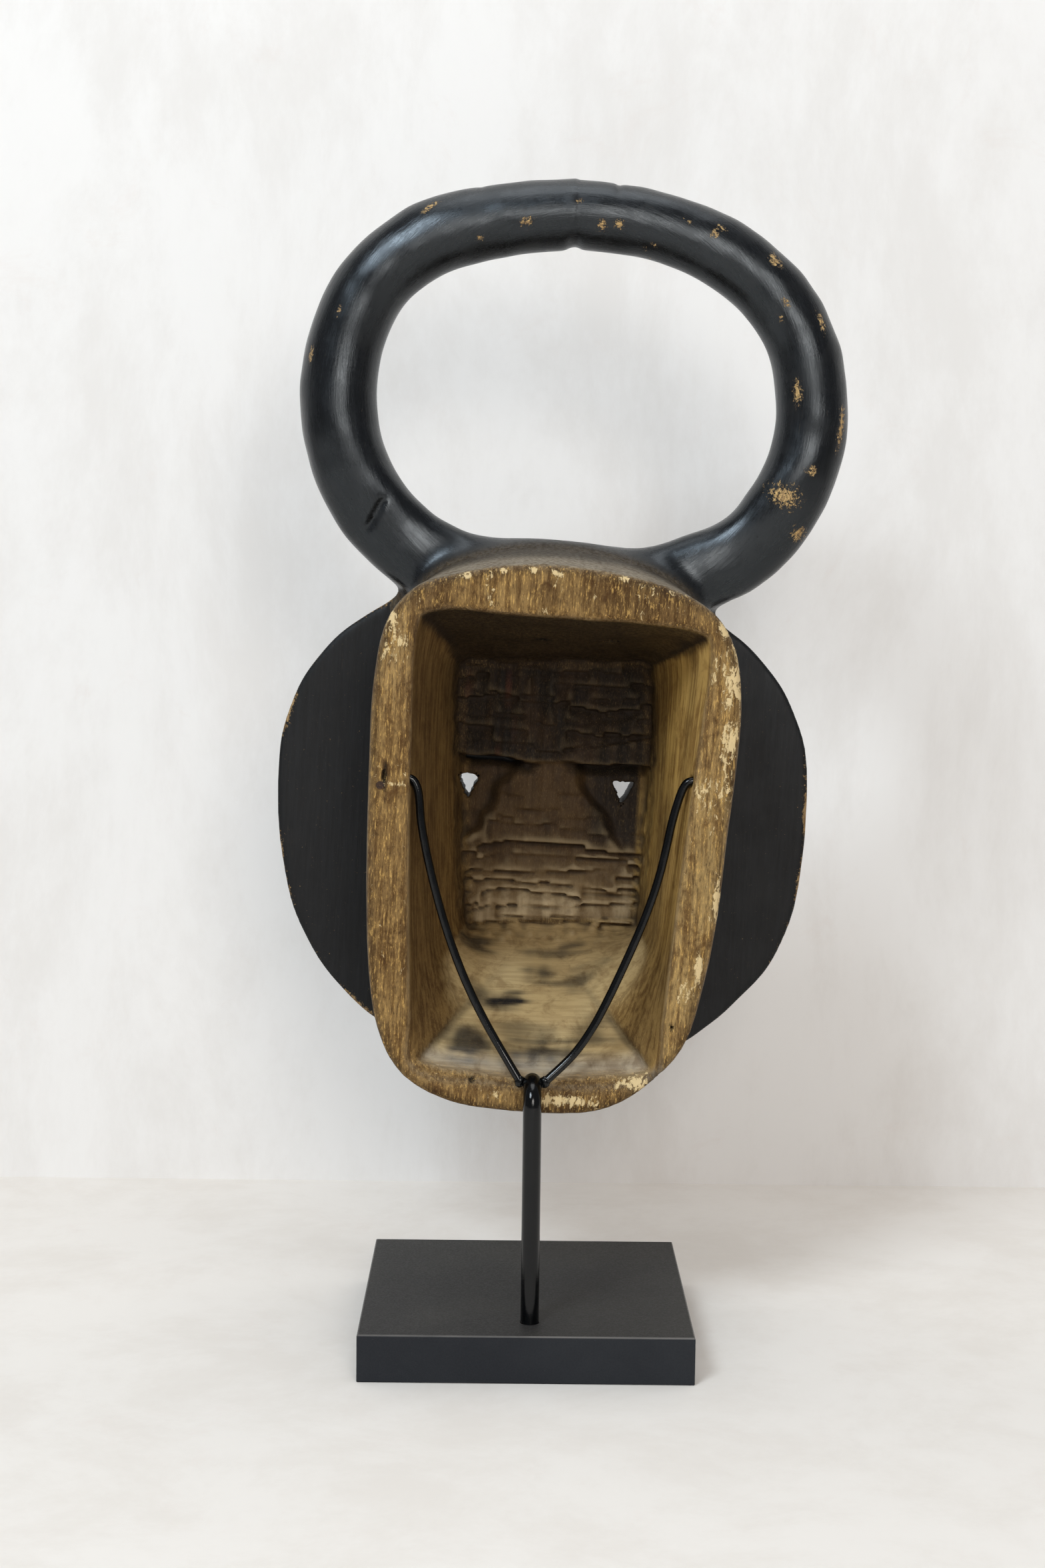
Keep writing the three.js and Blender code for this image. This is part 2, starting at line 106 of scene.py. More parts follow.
# ---- Fields: arrays that are below zero inside a shape ----


def smin(a, b, k):
    """The union of two fields, with a fillet about k wide."""
    h = np.clip(0.5 + 0.5 * (b - a) / k, 0, 1)
    return b + (a - b) * h - k * h * (1 - h)


def smax(a, b, k):
    """The overlap of two fields, with its edge rounded about k wide."""
    return -smin(-a, -b, k)


def catmull(points, count, closed=True):
    """A smooth Catmull-Rom line through points, as an array of count points."""
    p = np.array(points, float)
    n = len(p)
    if closed:
        ext = np.vstack([p[-1:], p, p[:2]])
        spans = n
    else:
        ext = np.vstack([2 * p[0] - p[1], p, 2 * p[-1] - p[-2]])
        spans = n - 1
    t = np.linspace(0, spans, count, endpoint=not closed)
    i = np.minimum(t.astype(int), spans - 1)
    f = (t - i)[:, None]
    a, b, c, d = (ext[i + j] for j in range(4))
    return 0.5 * (2 * b + (c - a) * f + (2 * a - 5 * b + 4 * c - d) * f**2 + (3 * b - a - 3 * c + d) * f**3)


def segment_distance(X, Z, a, b):
    """The distance from each grid point to the segment a b, and how far along it the nearest point is."""
    ab = b - a
    t = np.clip(((X - a[0]) * ab[0] + (Z - a[1]) * ab[1]) / (ab @ ab), 0, 1)
    return np.hypot(X - a[0] - t * ab[0], Z - a[1] - t * ab[1]), t


def loop_field(loop, X, Z):
    """The signed distance to a closed polygon."""
    best = np.full(X.shape, 1e9)
    inside = np.zeros(X.shape, bool)
    for a, b in zip(loop, np.roll(loop, -1, axis=0)):
        best = np.minimum(best, segment_distance(X, Z, a, b)[0])
        crosses = (a[1] > Z) != (b[1] > Z)
        if a[1] != b[1]:
            inside ^= crosses & (X < a[0] + (Z - a[1]) * (b[0] - a[0]) / (b[1] - a[1]))
    return np.where(inside, -best, best)


def bowed_quad(corners, bows):
    """A four-sided outline whose sides bow outward, each by its own share."""
    points = []
    for i, (x0, z0) in enumerate(corners):
        x1, z1 = corners[(i + 1) % 4]
        length = math.hypot(x1 - x0, z1 - z0)
        for t in (0.05, 0.25, 0.5, 0.75, 0.95):
            bow = 4 * t * (1 - t) * bows[i]
            x, z = x0 + (x1 - x0) * t, z0 + (z1 - z0) * t
            points.append([x + (z1 - z0) / length * bow, z + (x0 - x1) / length * bow])
    return catmull(points, 80)


def axis(*spans):
    """Sample positions along one axis, from (start, end, step) spans that follow each other."""
    parts = [np.arange(start, end - 0.2 * step, step) for start, end, step in spans]
    return np.concatenate(parts + [[spans[-1][1]]])


class Noise:
    """Smooth noise from -1 to 1 on a fixed lattice, on a grid or at loose points."""

    LOW = np.array([-200.0, -80.0, -220.0])
    HIGH = np.array([200.0, 120.0, 360.0])

    def __init__(self, cell, seed):
        self.cell = cell
        counts = [1 if c == 0 else int((h - l) / c) + 3 for l, h, c in zip(self.LOW, self.HIGH, cell)]
        self.field = np.random.default_rng([SEED, seed]).uniform(-1, 1, counts)

    def place(self, n, values):
        """The lattice cell and the eased share of it for positions on axis n."""
        if self.cell[n] == 0:
            return np.zeros(values.shape, int), np.zeros(values.shape)
        t = np.clip((values - self.LOW[n]) / self.cell[n], 0, self.field.shape[n] - 1.001)
        i = t.astype(int)
        f = t - i
        return i, f * f * (3 - 2 * f)

    def on(self, grid):
        field = self.field
        for n in range(3):
            if self.cell[n]:
                i, f = self.place(n, grid.axes[n])
                f = f.reshape([-1 if m == n else 1 for m in range(3)])
                low, high = np.take(field, i, axis=n), np.take(field, i + 1, axis=n)
                field = low + (high - low) * f
        return field

    def at(self, points):
        cells = [self.place(n, points[:, n]) for n in range(3)]
        total = 0
        for corner in range(8):
            index, weight = [], 1
            for n, (i, f) in enumerate(cells):
                up = corner >> n & 1
                index.append(i + (up if self.cell[n] else 0))
                weight = weight * (f if up else 1 - f)
            total = total + self.field[tuple(index)] * weight
        return total


class Grid:
    """Sample positions on three axes."""

    def __init__(self, *axes):
        self.axes = axes
        self.X, self.Y, self.Z = axes[0][:, None, None], axes[1][None, :, None], axes[2][None, None, :]
        self.XX, self.ZZ = np.meshgrid(axes[0], axes[2], indexing="ij")

    def noise(self, cell, seed):
        return Noise(cell, seed).on(self)

    @staticmethod
    def flat(field):
        """A field over x and z, ready to combine with ones over x, y and z."""
        return field[:, None, :]


class Cloud:
    """Loose points that the fields can be read at, as on a grid."""

    def __init__(self, points):
        self.points = points
        self.X = self.XX = points[:, 0]
        self.Y = points[:, 1]
        self.Z = self.ZZ = points[:, 2]

    def noise(self, cell, seed):
        return Noise(cell, seed).at(self.points)

    @staticmethod
    def flat(field):
        return field


CHOP_ROWS = [  # the rows of chops across the end wall: each one's upper edge, and how deep its strokes are
    (70, 1.2), (59, 1.8), (50, 2.4), (42, 1.6), (37, 2.8), (28, 1.8), (22, 2.6), (13, 1.4), (-4, 0.9),
    (-17, 1.3), (-27, 1.5), (-36, 1.6), (-45, 3.2), (-53, 3.4), (-61, 3.8), (-68, 3.2), (-74, 3.4),
    (-81, 3.4), (-87, 3.2), (-93, 2.4),
]
COARSE_BELOW = -44  # the strokes are longer below this height
ROWS_END = -102


def chop_marks(XX, ZZ):
    """How much further in the end wall lies at each point, from the strokes of an adze."""
    rng = np.random.default_rng([SEED, 900])
    depth = np.zeros(XX.shape)
    for (z, deep), (below, _) in zip(CHOP_ROWS, CHOP_ROWS[1:] + [(ROWS_END, 0)]):
        wave = 0.9 * np.sin(XX / 21 + rng.uniform(0, 6)) + 0.25 * np.sin(XX / 6 + rng.uniform(0, 6))
        droop = -4.0 * step(-18, -48, XX) if z < COARSE_BELOW else 0
        x = -80.0 + rng.uniform(0, 12)
        while x < 80:
            width = rng.uniform(8, 26) if z > COARSE_BELOW else rng.uniform(18, 46)
            slip = rng.uniform(-0.32, 0.32) * (z - below)
            lean = rng.uniform(-0.13, 0.13)
            along = (XX - x) / width
            across = (z + wave + droop + slip + lean * (XX - x) - ZZ) / (z - below)
            cell = (across >= 0) & (across < 1.5) & (along >= 0) & (along < 1)
            stroke = deep * rng.uniform(0.4, 1.25) * np.clip(1 - across, 0, 1) ** 1.6
            dish = 0.4 * deep * (1 - 4 * (along - 0.5) ** 2) + rng.uniform(-0.35, 0.35) * deep * (along - 0.5)
            depth = np.where(cell, stroke + dish + 0.22 * deep * rng.uniform(-1, 1), depth)
            x += width
    return depth


def brow_line(X):
    """The height of the brow's ledge at each x."""
    return np.where(X < -14, 5.5 - 0.07 * (X + 60), 2.25 + 0.015 * X) + 0.7 * np.sin(X / 6)


def end_wall(grid):
    """The depth of the cavity's end over x and z: a forehead, a brow ledge, eye hollows and a nose."""
    X, Z = grid.XX, grid.ZZ
    brow = brow_line(X)
    below = step(brow + 0.5, brow - 0.5, Z)
    fall = np.clip(brow - Z, 0, 80)
    sway = 2.0 * np.sin(Z / 7) + 1.2 * np.sin(Z / 3 + X / 9)
    nose_left, nose_right = -11 - 0.60 * fall + sway, 12 + 0.56 * fall + sway
    off_nose = np.maximum(np.maximum(nose_left - X, X - nose_right), 0)
    hollow = below * step(0, 8, off_nose) * step(-60, -30, Z)
    under = below * step(-8, -1, Z - brow) * step(3, 14, np.abs(X - 2)) * (1.0 + 0.5 * (X < 0))
    forehead = (-3.6 + 1.0 * np.sin(Z / 13.0)) * (1 - below)
    split = -1.6 * np.exp(-(((Z - 10 - 0.22 * (X - 10)) / 1.0) ** 2)) * (X > 8)
    nose = below * (1 - hollow) * (1.2 - 2.2 * step(-45, -5, Z))
    lower = 2.2 * step(-42, -52, Z) * step(-96, -60, Z) - 1.8 * step(-86, -98, Z)
    share = np.where(Z < -42, 1.0, np.where(below < 0.5, 1.2, 0.8 - 0.5 * hollow))
    wall = CAVITY_Y + forehead - split * (1 - below) + 7.6 * hollow + 3.4 * under + nose + lower
    return wall + share * chop_marks(X, Z)


def face_loop():
    """The disc's outline: a superellipse, wider at the chin, with a slight wobble and worn spots."""
    angle = np.linspace(0, 2 * math.pi, 160, endpoint=False)
    c, s = np.cos(angle), np.sin(angle)
    bent_c, bent_s = (np.sign(v) * np.abs(v) ** (2 / FACE_POWER) for v in (c, s))
    wobble = 1 + 0.002 * np.sin(5 * angle + 1) + 0.0015 * np.sin(11 * angle) + 0.0012 * np.sin(23 * angle + 2)
    x = FACE_HALF_WIDTH * bent_c * wobble
    z = np.where(s > 0, FACE_ABOVE, FACE_BELOW) * bent_s * wobble
    for turn, spread, trim in FACE_TRIMS:
        off = (angle - math.radians(turn) + math.pi) % (2 * math.pi) - math.pi
        shrink = 1 - trim * np.exp(-((off / math.radians(spread)) ** 2))
        x, z = x * shrink, z * shrink
    return np.stack([FACE_X + x - CHIN_SHIFT * np.minimum(z, 0), FACE_Z + z], 1)


def face_share(X, Z):
    """How far out each point lies on the face: 0 at its middle, 1 at its edge."""
    below = np.minimum(Z - FACE_Z, 0)
    reach = np.where(Z > FACE_Z, FACE_ABOVE, FACE_BELOW)
    across = np.abs((X - FACE_X + CHIN_SHIFT * below) / FACE_HALF_WIDTH) ** FACE_POWER
    return (across + np.abs((Z - FACE_Z) / reach) ** FACE_POWER) ** (1 / FACE_POWER)


def hood_outside(grid):
    """The hood without its cavity, tapering from the rim to the face."""
    outer = catmull(RIM_OUTER, 96)
    scale = np.where(outer[:, 1:] > 0, FRONT_ABOVE, FRONT_BELOW)
    front = np.hstack([outer[:, :1] * FRONT_WIDTH, outer[:, 1:] * scale])
    rim_field = grid.flat(loop_field(outer, grid.XX, grid.ZZ))
    front_field = grid.flat(loop_field(front, grid.XX, grid.ZZ))
    t = (grid.Y - RIM_Y) / (FRONT_Y - RIM_Y)
    side = rim_field * (1 - t) + front_field * t + 0.35 * grid.noise((30, 40, 60), 1) - 0.9
    back = RIM_Y - grid.Y + 0.4 * grid.noise((22, 0, 40), 2) + 0.25 * grid.noise((5, 0, 22), 3) + 0.4
    return smax(smax(side, back, 5), grid.Y - FACE_BACK - 3, 1)


def cavity_side(grid):
    """How far each point lies outside the cavity's side walls."""
    mouth = grid.flat(loop_field(bowed_quad(*CAVITY_RIM), grid.XX, grid.ZZ))
    end = grid.flat(loop_field(bowed_quad(*CAVITY_END), grid.XX, grid.ZZ))
    t = (grid.Y - RIM_Y) / (CAVITY_Y - RIM_Y)
    return mouth * (1 - t) + end * t


def cavity(grid):
    """The hollow, with fluted sides and crumbs of wood left in its corners."""
    side = cavity_side(grid) - 5.0 * step(-36, -52, grid.Y) * step(-130, -160, grid.Z)
    flutes = 0.9 * grid.noise((30, 15, 150), 4) + 0.3 * grid.noise((12, 8, 70), 5)
    crumbs = 1.3 * grid.noise((4, 5, 6), 10) * step(26, 48, grid.Y)
    return smax(side + flutes + crumbs, grid.Y - grid.flat(end_wall(grid)), 2.0)


SLOTS = [  # small old holes and slots in the wood: centre and half sizes
    ((-63.5, -24, 2), (5, 2.2, 7)), ((-59, -24, -36), (3, 2, 4)), ((66.5, -25, 1), (5, 2.2, 6.5)),
    ((-8.0, 2, 79), (5, 2.2, 6)), ((29, 2, 78), (5, 2.2, 6)), ((-33, -50, -165.6), (1.5, 6, 1.5)),
    ((73.5, -50, -130), (1.2, 6, 1.2)), ((64, -50, -146), (1.0, 5, 1.0)), ((-89.4, -50, -2.6), (0.9, 5, 5.0)),
]


def slots(grid):
    """The old holes, as ellipsoids."""
    field = 1e3
    for centre, size in SLOTS:
        x, y, z = [(place - c) / h for place, c, h in zip((grid.X, grid.Y, grid.Z), centre, size)]
        field = np.minimum(field, (np.sqrt(x * x + y * y + z * z) - 1) * min(size))
    return field


def face_disc(grid):
    """The flat face, gently crowned in front."""
    outline = loop_field(face_loop(), grid.XX, grid.ZZ)
    share = face_share(grid.XX, grid.ZZ)
    rise = FACE_DEPTH - 3.6 * share**2 - 9.0 * np.minimum(share, 1.1) ** 12
    front = grid.Y - FACE_BACK - grid.flat(rise) + 0.35 * grid.noise((18, 0, 30), 6)
    back = FACE_BACK - grid.Y + 0.3 * grid.noise((16, 0, 34), 7) + 0.3
    return smax(smax(grid.flat(outline), back, 2.0), front, 4)


def face_relief(grid):
    """The raised drops round the eyes and the mouth's block."""
    field = 1e9
    for side in (-1, 1):
        drop = catmull(EYE_DROP, 60) * [side, 1] + [side * EYE_X, EYE_Z]
        outline = loop_field(drop[::side], grid.XX, grid.ZZ)
        crown = 80 + EYE_PROUD - 0.035 * np.minimum(np.abs(outline + 9), 9) ** 2
        boss = smax(grid.flat(outline) + 0.8, grid.Y - grid.flat(crown), 5)
        field = np.minimum(field, smax(boss, RELIEF_ROOT - grid.Y, 1))
    w, h = MOUTH_WIDTH / 2, MOUTH_HEIGHT / 2
    outline = smax(np.abs(grid.XX) - w, np.abs(grid.ZZ - MOUTH_Z) - h, 3)
    pitch = MOUTH_WIDTH / MOUTH_TEETH
    tooth = np.abs((grid.XX + w) / pitch - np.round((grid.XX + w) / pitch)) * pitch
    inner = (np.abs(grid.XX) < w - 3) & (np.abs(grid.ZZ - MOUTH_Z) < h - 3)
    groove = 2.6 * np.exp(-((tooth / 1.3) ** 2)) * inner
    front = grid.Y - grid.flat(FACE_FRONT - 0.6 - groove)
    mouth = smax(smax(grid.flat(outline), front, 3), RELIEF_ROOT - grid.Y, 1)
    return np.minimum(field, mouth)


def horn_ring(grid):
    """Both horns as one round bar that follows their centre lines and tapers to their tips."""
    best = np.full(grid.XX.shape, 1e9)
    radius = np.zeros(grid.XX.shape)
    for side, line in ((-1, HORN_LEFT), (1, HORN_RIGHT)):
        points = catmull(line, 90, closed=False)
        root, tip = HORN_RADII[side]
        for i, (a, b) in enumerate(zip(points, points[1:])):
            distance, t = segment_distance(grid.XX, grid.ZZ, a, b)
            nearer = distance < best
            best = np.where(nearer, distance, best)
            radius = np.where(nearer, root + (tip - root) * (i + t) / (len(points) - 1), radius)
    lumps = 0.65 * grid.noise((30, 30, 30), 8) + 0.4 * grid.noise((13, 13, 13), 9)
    thinner = 0.55 + 0.6 * np.clip(grid.X / 100, -1, 1)
    bar = np.hypot(grid.flat(best), (grid.Y - HORN_Y) / HORN_FLATNESS) - grid.flat(radius) + lumps + thinner
    inner_z = HORN_LEFT[-1][1] - HORN_RADII[-1][1]
    near = step(inner_z + 10, inner_z - 2, grid.Z) * (grid.Z > RING_MIDDLE[1])
    notch = NOTCH_DEPTH * near * np.exp(-(((grid.X - TIP_X) / NOTCH_WIDTH) ** 2))
    rise = grid.Z - GASH_Z
    gash = np.exp(-(((grid.X - GASH_X - GASH_SLOPE * rise) / GASH_WIDTH) ** 2)) * step(11, 6, np.abs(rise))
    nicks = sum(np.exp(-(((grid.X - x) / NICK_WIDTH) ** 2)) for x in NICKS) * step(322, 332, grid.Z)
    low = step(RING_MIDDLE[1] - 5, RING_MIDDLE[1] - 90, grid.Z)  # the arc's back is planed flat at the hood
    bar = smax(bar, CROWN_BACK - grid.Y - 20 * (1 - low), 15)
    return bar + notch + GASH_DEPTH * gash * (grid.Y < HORN_Y) + nicks


def triangle_field(grid, x, z, width, height):
    """A prism along Y, over a triangle that stands on its point."""
    loop = np.array([[x - width / 2, z], [x, z - height], [x + width / 2, z]])
    ragged = 1.1 * np.sin(grid.XX * 2.1 + 0.4 * x) * np.sin(grid.ZZ * 2.3 + 0.7 * grid.XX) - 0.4
    return grid.flat(loop_field(loop, grid.XX, grid.ZZ) + ragged)


def lean_point(x, y, z):
    """A point of the row frame, in millimetres, in the mask's frame."""
    dx, dz = x - MASK_X, z - MASK_Z
    return np.array([dx * math.cos(LEAN) - dz * math.sin(LEAN), y, dx * math.sin(LEAN) + dz * math.cos(LEAN)])


def pivot_holes(grid):
    """The holes that the wires' tips turn in, flared at the mouth."""
    field = 1e9
    for side, wall_x in WALLS.items():
        mouth = lean_point(wall_x, PIVOT_Y, PIVOT_Z)
        u = np.array([math.cos(LEAN), 0, math.sin(LEAN)]) * side
        x, y, z = grid.X - mouth[0], grid.Y - mouth[1], grid.Z - mouth[2]
        along = x * u[0] + z * u[2]
        away = np.sqrt(np.maximum(x * x + y * y + z * z - along * along, 0))
        width = np.clip(4.6 - 0.42 * (along + 1), HOLE_RADIUS, HOLE_MOUTH)
        field = np.minimum(field, np.maximum(np.maximum(away - width, along - HOLE_DEPTH), -3 - along))
    return field


def carving(grid):
    """The whole mask as one field."""
    body = smin(hood_outside(grid), horn_ring(grid), HORN_FILLET)
    temples = step(50, 80, grid.Z) * step(20, 60, np.abs(grid.X))
    body = smin(body, face_disc(grid), DISC_FILLET + TEMPLE_FILLET * temples)
    body = smin(body, face_relief(grid), RELIEF_FILLET)
    body = smax(body, -cavity(grid), CAVITY_EDGE)
    for x, z in EYE_HOLES:
        hole = np.maximum(triangle_field(grid, x, z, EYE_WIDTH, EYE_HEIGHT), CAVITY_Y - 8 - grid.Y)
        body = smax(body, -hole, 0.5)
    return np.maximum(np.maximum(body, -pivot_holes(grid)), -slots(grid))


# ---- Meshes ----


def to_row(points):
    """Points of the mask's frame, in millimetres, in the row frame in metres."""
    x, y, z = np.asarray(points, float).T
    c, s = math.cos(LEAN), math.sin(LEAN)
    return np.stack([MASK_X + x * c + z * s, y, MASK_Z - x * s + z * c], 1) * MM


def surface(grid, field):
    """The closed surface at a field's zero level, as points and quads."""
    padded = np.pad(field.astype(np.float32), 1, constant_values=5.0)
    volume = openvdb.FloatGrid(5.0)
    volume.copyFromArray(padded)
    points, quads = volume.convertToQuads(isovalue=0.0)
    placed = [np.interp(points[:, n] - 1, np.arange(len(a)), a) for n, a in enumerate(grid.axes)]
    return np.stack(placed, 1), quads


def new_object(name, data):
    made = bpy.data.objects.new(name, data)
    bpy.context.scene.collection.objects.link(made)
    return made


def new_mesh(name, points, faces):
    mesh = bpy.data.meshes.new(name)
    mesh.from_pydata(np.asarray(points, float).tolist(), [], [list(map(int, f)) for f in faces])
    mesh.update()
    return mesh


def split(source, name, planes):
    """A closed copy of the part of a mesh that lies behind every plane, each given as (point, direction)."""
    bm = bmesh.new()
    bm.from_mesh(source)
    for point, direction in planes:
        everything = bm.verts[:] + bm.edges[:] + bm.faces[:]
        cut = bmesh.ops.bisect_plane(
            bm, geom=everything, dist=1e-4, plane_co=point, plane_no=direction, clear_outer=True
        )
        edges = [e for e in cut["geom_cut"] if isinstance(e, bmesh.types.BMEdge)]
        bmesh.ops.triangle_fill(bm, edges=edges, use_beauty=False, normal=direction)
        for e in edges:
            e.smooth = False
    bmesh.ops.recalc_face_normals(bm, faces=bm.faces[:])
    mesh = bpy.data.meshes.new(name)
    bm.to_mesh(mesh)
    bm.free()
    return mesh


def read(items, key, width, kind=np.float32):
    """A property of all items of a mesh, as an array."""
    values = np.empty(len(items) * width, kind)
    items.foreach_get(key, values)
    return values.reshape(-1, width) if width > 1 else values


def keep(mesh):
    """Notes on each vertex what the split would lose: the way it faces and how far it stands proud."""
    attribute(mesh, "facing", read(mesh.vertex_normals, "vector", 3))
    attribute(mesh, "proud", bulge(mesh, 6))


def take(mesh, name):
    """An attribute of each vertex, which is then removed."""
    layer = mesh.attributes[name]
    key, width = ("vector", 3) if layer.data_type == "FLOAT_VECTOR" else ("value", 1)
    values = read(layer.data, key, width)
    mesh.attributes.remove(layer)
    return values


def coordinates(mesh):
    return read(mesh.vertices, "co", 3).astype(float)


def bulge(mesh, rounds):
    """How far each vertex stands proud of the ones around it, averaged over a wider and wider patch."""
    points = coordinates(mesh)
    a, b = read(mesh.edges, "vertices", 2, np.int32).T
    count = np.bincount(a, minlength=len(points)) + np.bincount(b, minlength=len(points))

    def average(values):
        total = np.stack(
            [np.bincount(a, v[b], len(points)) + np.bincount(b, v[a], len(points)) for v in values.T], 1
        )
        return total / np.maximum(count, 1)[:, None]

    smooth = points
    for _ in range(rounds):
        smooth = average(smooth)
    proud = ((points - smooth) * read(mesh.vertex_normals, "vector", 3)).sum(1)[:, None]
    return average(average(proud))[:, 0]


def attribute(mesh, name, values):
    kind = {1: "FLOAT", 3: "FLOAT_VECTOR", 4: "FLOAT_COLOR"}[1 if values.ndim == 1 else values.shape[1]]
    layer = mesh.attributes.new(name, kind, "POINT")
    key = {"FLOAT": "value", "FLOAT_VECTOR": "vector", "FLOAT_COLOR": "color"}[kind]
    layer.data.foreach_set(key, values.astype(np.float32).ravel())


def linear(*rgb):
    """A colour given as 0 to 255 display values, in linear light."""
    c = np.array(rgb, float) / 255
    return np.where(c <= 0.04045, c / 12.92, ((c + 0.055) / 1.055) ** 2.4)


def step(low, high, value):
    """0 below low and 1 above high, eased between them. low may be the larger."""
    t = np.clip((value - low) / (high - low), 0, 1)
    return t * t * (3 - 2 * t)


def blot(points, centre, size):
    """1 at centre, 0 at the edge of an ellipsoid of the given half sizes and below 0 outside."""
    return 1 - np.sqrt((((points - centre) / size) ** 2).sum(1))


# ---- Node materials ----

# The horns' black paint: its sheen's tint and level, and its roughness; the tint is a painted cool
# reflection.
COOL_REFLECTION_TINT, GLOSS, GLOSSY = (0.85, 0.93, 1.0), 0.52, 0.25
BARE_HORN, BARE_FACE = (214, 178, 116), (178, 150, 108)  # the wood where black paint is worn through


class Finish:
    """A node material, made a node at a time."""

    def __init__(self, name, **constants):
        self.material = bpy.data.materials.new(name)
        self.material.use_nodes = True
        self.tree = self.material.node_tree
        self.shader = self.tree.nodes["Principled BSDF"]
        for socket, value in constants.items():
            self.shader.inputs[socket.replace("_", " ")].default_value = value

    def node(self, kind, settings=(), **inputs):
        made = self.tree.nodes.new(kind)
        for key, value in dict(settings).items():
            setattr(made, key, value)
        for key, value in inputs.items():
            socket = made.inputs[int(key[1:])] if key[0] == "_" else made.inputs[key]
            self.feed(socket, value)
        return made

    def feed(self, socket, value):
        if isinstance(value, bpy.types.NodeSocket):
            self.tree.links.new(value, socket)
        elif value is not None:
            socket.default_value = value

    def set(self, socket, value):
        self.feed(self.shader.inputs[socket], value)

    def attribute(self, name, output="Fac"):
        return self.node("ShaderNodeAttribute", {"attribute_name": name}).outputs[output]

    def place(self):
        return self.node("ShaderNodeTexCoord").outputs["Object"]

    def stretch(self, vector, along):
        """Coordinates for a pattern drawn out along their last axis."""
        factors = (1.0, 1.0, along)
        return self.node("ShaderNodeVectorMath", {"operation": "MULTIPLY"}, _0=vector, _1=factors).outputs[0]

    def math(self, operation, a, b=None, c=None, clamp=False):
        settings = {"operation": operation, "use_clamp": clamp}
        return self.node("ShaderNodeMath", settings, _0=a, _1=b, _2=c).outputs[0]

    def times(self, first, *others):
        """The product of several values."""
        for other in others:
            first = self.math("MULTIPLY", first, other)
        return first

    def add(self, a, b, clamp=False):
        return self.math("ADD", a, b, clamp=clamp)

    def noise(self, vector, scale, detail=3.0, roughness=0.55, distortion=0.0):
        shape = {"Scale": scale, "Detail": detail, "Roughness": roughness, "Distortion": distortion}
        return self.node("ShaderNodeTexNoise", Vector=vector, **shape).outputs["Fac"]

    def band(self, value, low, high, to_low=0.0, to_high=1.0):
        """The value's share of the way from low to high, eased."""
        eased = {"interpolation_type": "SMOOTHSTEP"}
        made = self.node("ShaderNodeMapRange", eased, _0=value, _1=low, _2=high, _3=to_low, _4=to_high)
        return made.outputs[0]

    def mix(self, share, a, b, blend="MIX"):
        made = self.node("ShaderNodeMix", {"data_type": "RGBA", "blend_type": blend})
        self.feed(made.inputs[0], share)
        for socket, value in ((made.inputs[6], a), (made.inputs[7], b)):
            self.feed(socket, value if isinstance(value, bpy.types.NodeSocket) else (*value, 1.0))
        return made.outputs[2]

    def blend(self, share, a, b):
        """A number between a and b."""
        made = self.node("ShaderNodeMix", {"data_type": "FLOAT"})
        for n, value in ((0, share), (2, a), (3, b)):
            self.feed(made.inputs[n], value)
        return made.outputs[0]

    def bump(self, height, distance, strength=1.0, normal=None):
        return self.node(
            "ShaderNodeBump", Height=height, Distance=distance, Strength=strength, Normal=normal
        ).outputs["Normal"]


# ---- The carving ----


def shape_carving():
    """The mask's whole surface in its own frame, in millimetres, sampled finer over the chops."""
    grid = Grid(
        axis((-164, -58, 2.0), (-58, 62, 1.28), (62, 166, 2.0)),
        axis((-52.5, -42, 1.5), (-42, 30, 3.0), (30, 44, 1.9), (44, 64, 1.2), (64, 98, 1.6)),
        axis((-188, -102, 2.0), (-102, 68, 1.28), (68, 342, 1.9)),
    )
    return new_mesh("carving", *surface(grid, carving(grid)))


def lean_mesh(mesh, facing):
    """Moves a mesh into the row frame, shaded as one surface with the pieces next to it."""
    mesh.vertices.foreach_set("co", to_row(coordinates(mesh)).astype(np.float32).ravel())
    mesh.update()
    middle = to_row(np.zeros((1, 3)))
    mesh.normals_split_custom_set_from_vertices(((to_row(facing) - middle) / MM).tolist())


def ring_coordinates(p):
    """Each point's distance round the ring, out from its middle, and back."""
    x, z = p[:, 0] - RING_MIDDLE[0], p[:, 2] - RING_MIDDLE[1]
    angle = np.arctan2(x, z)
    return angle * RING_REACH, np.hypot(x, z), p[:, 1]


def colour(*parts):
    """Colours laid over each other: each part is display colour and how much it covers."""
    total = None
    for rgb, cover in parts:
        rgb = linear(*rgb)
        if total is None:
            total = np.broadcast_to(rgb, (len(cover), 3))
        else:
            total = total + (rgb - total) * cover[:, None]
    return np.hstack([total, np.ones((len(total), 1))])


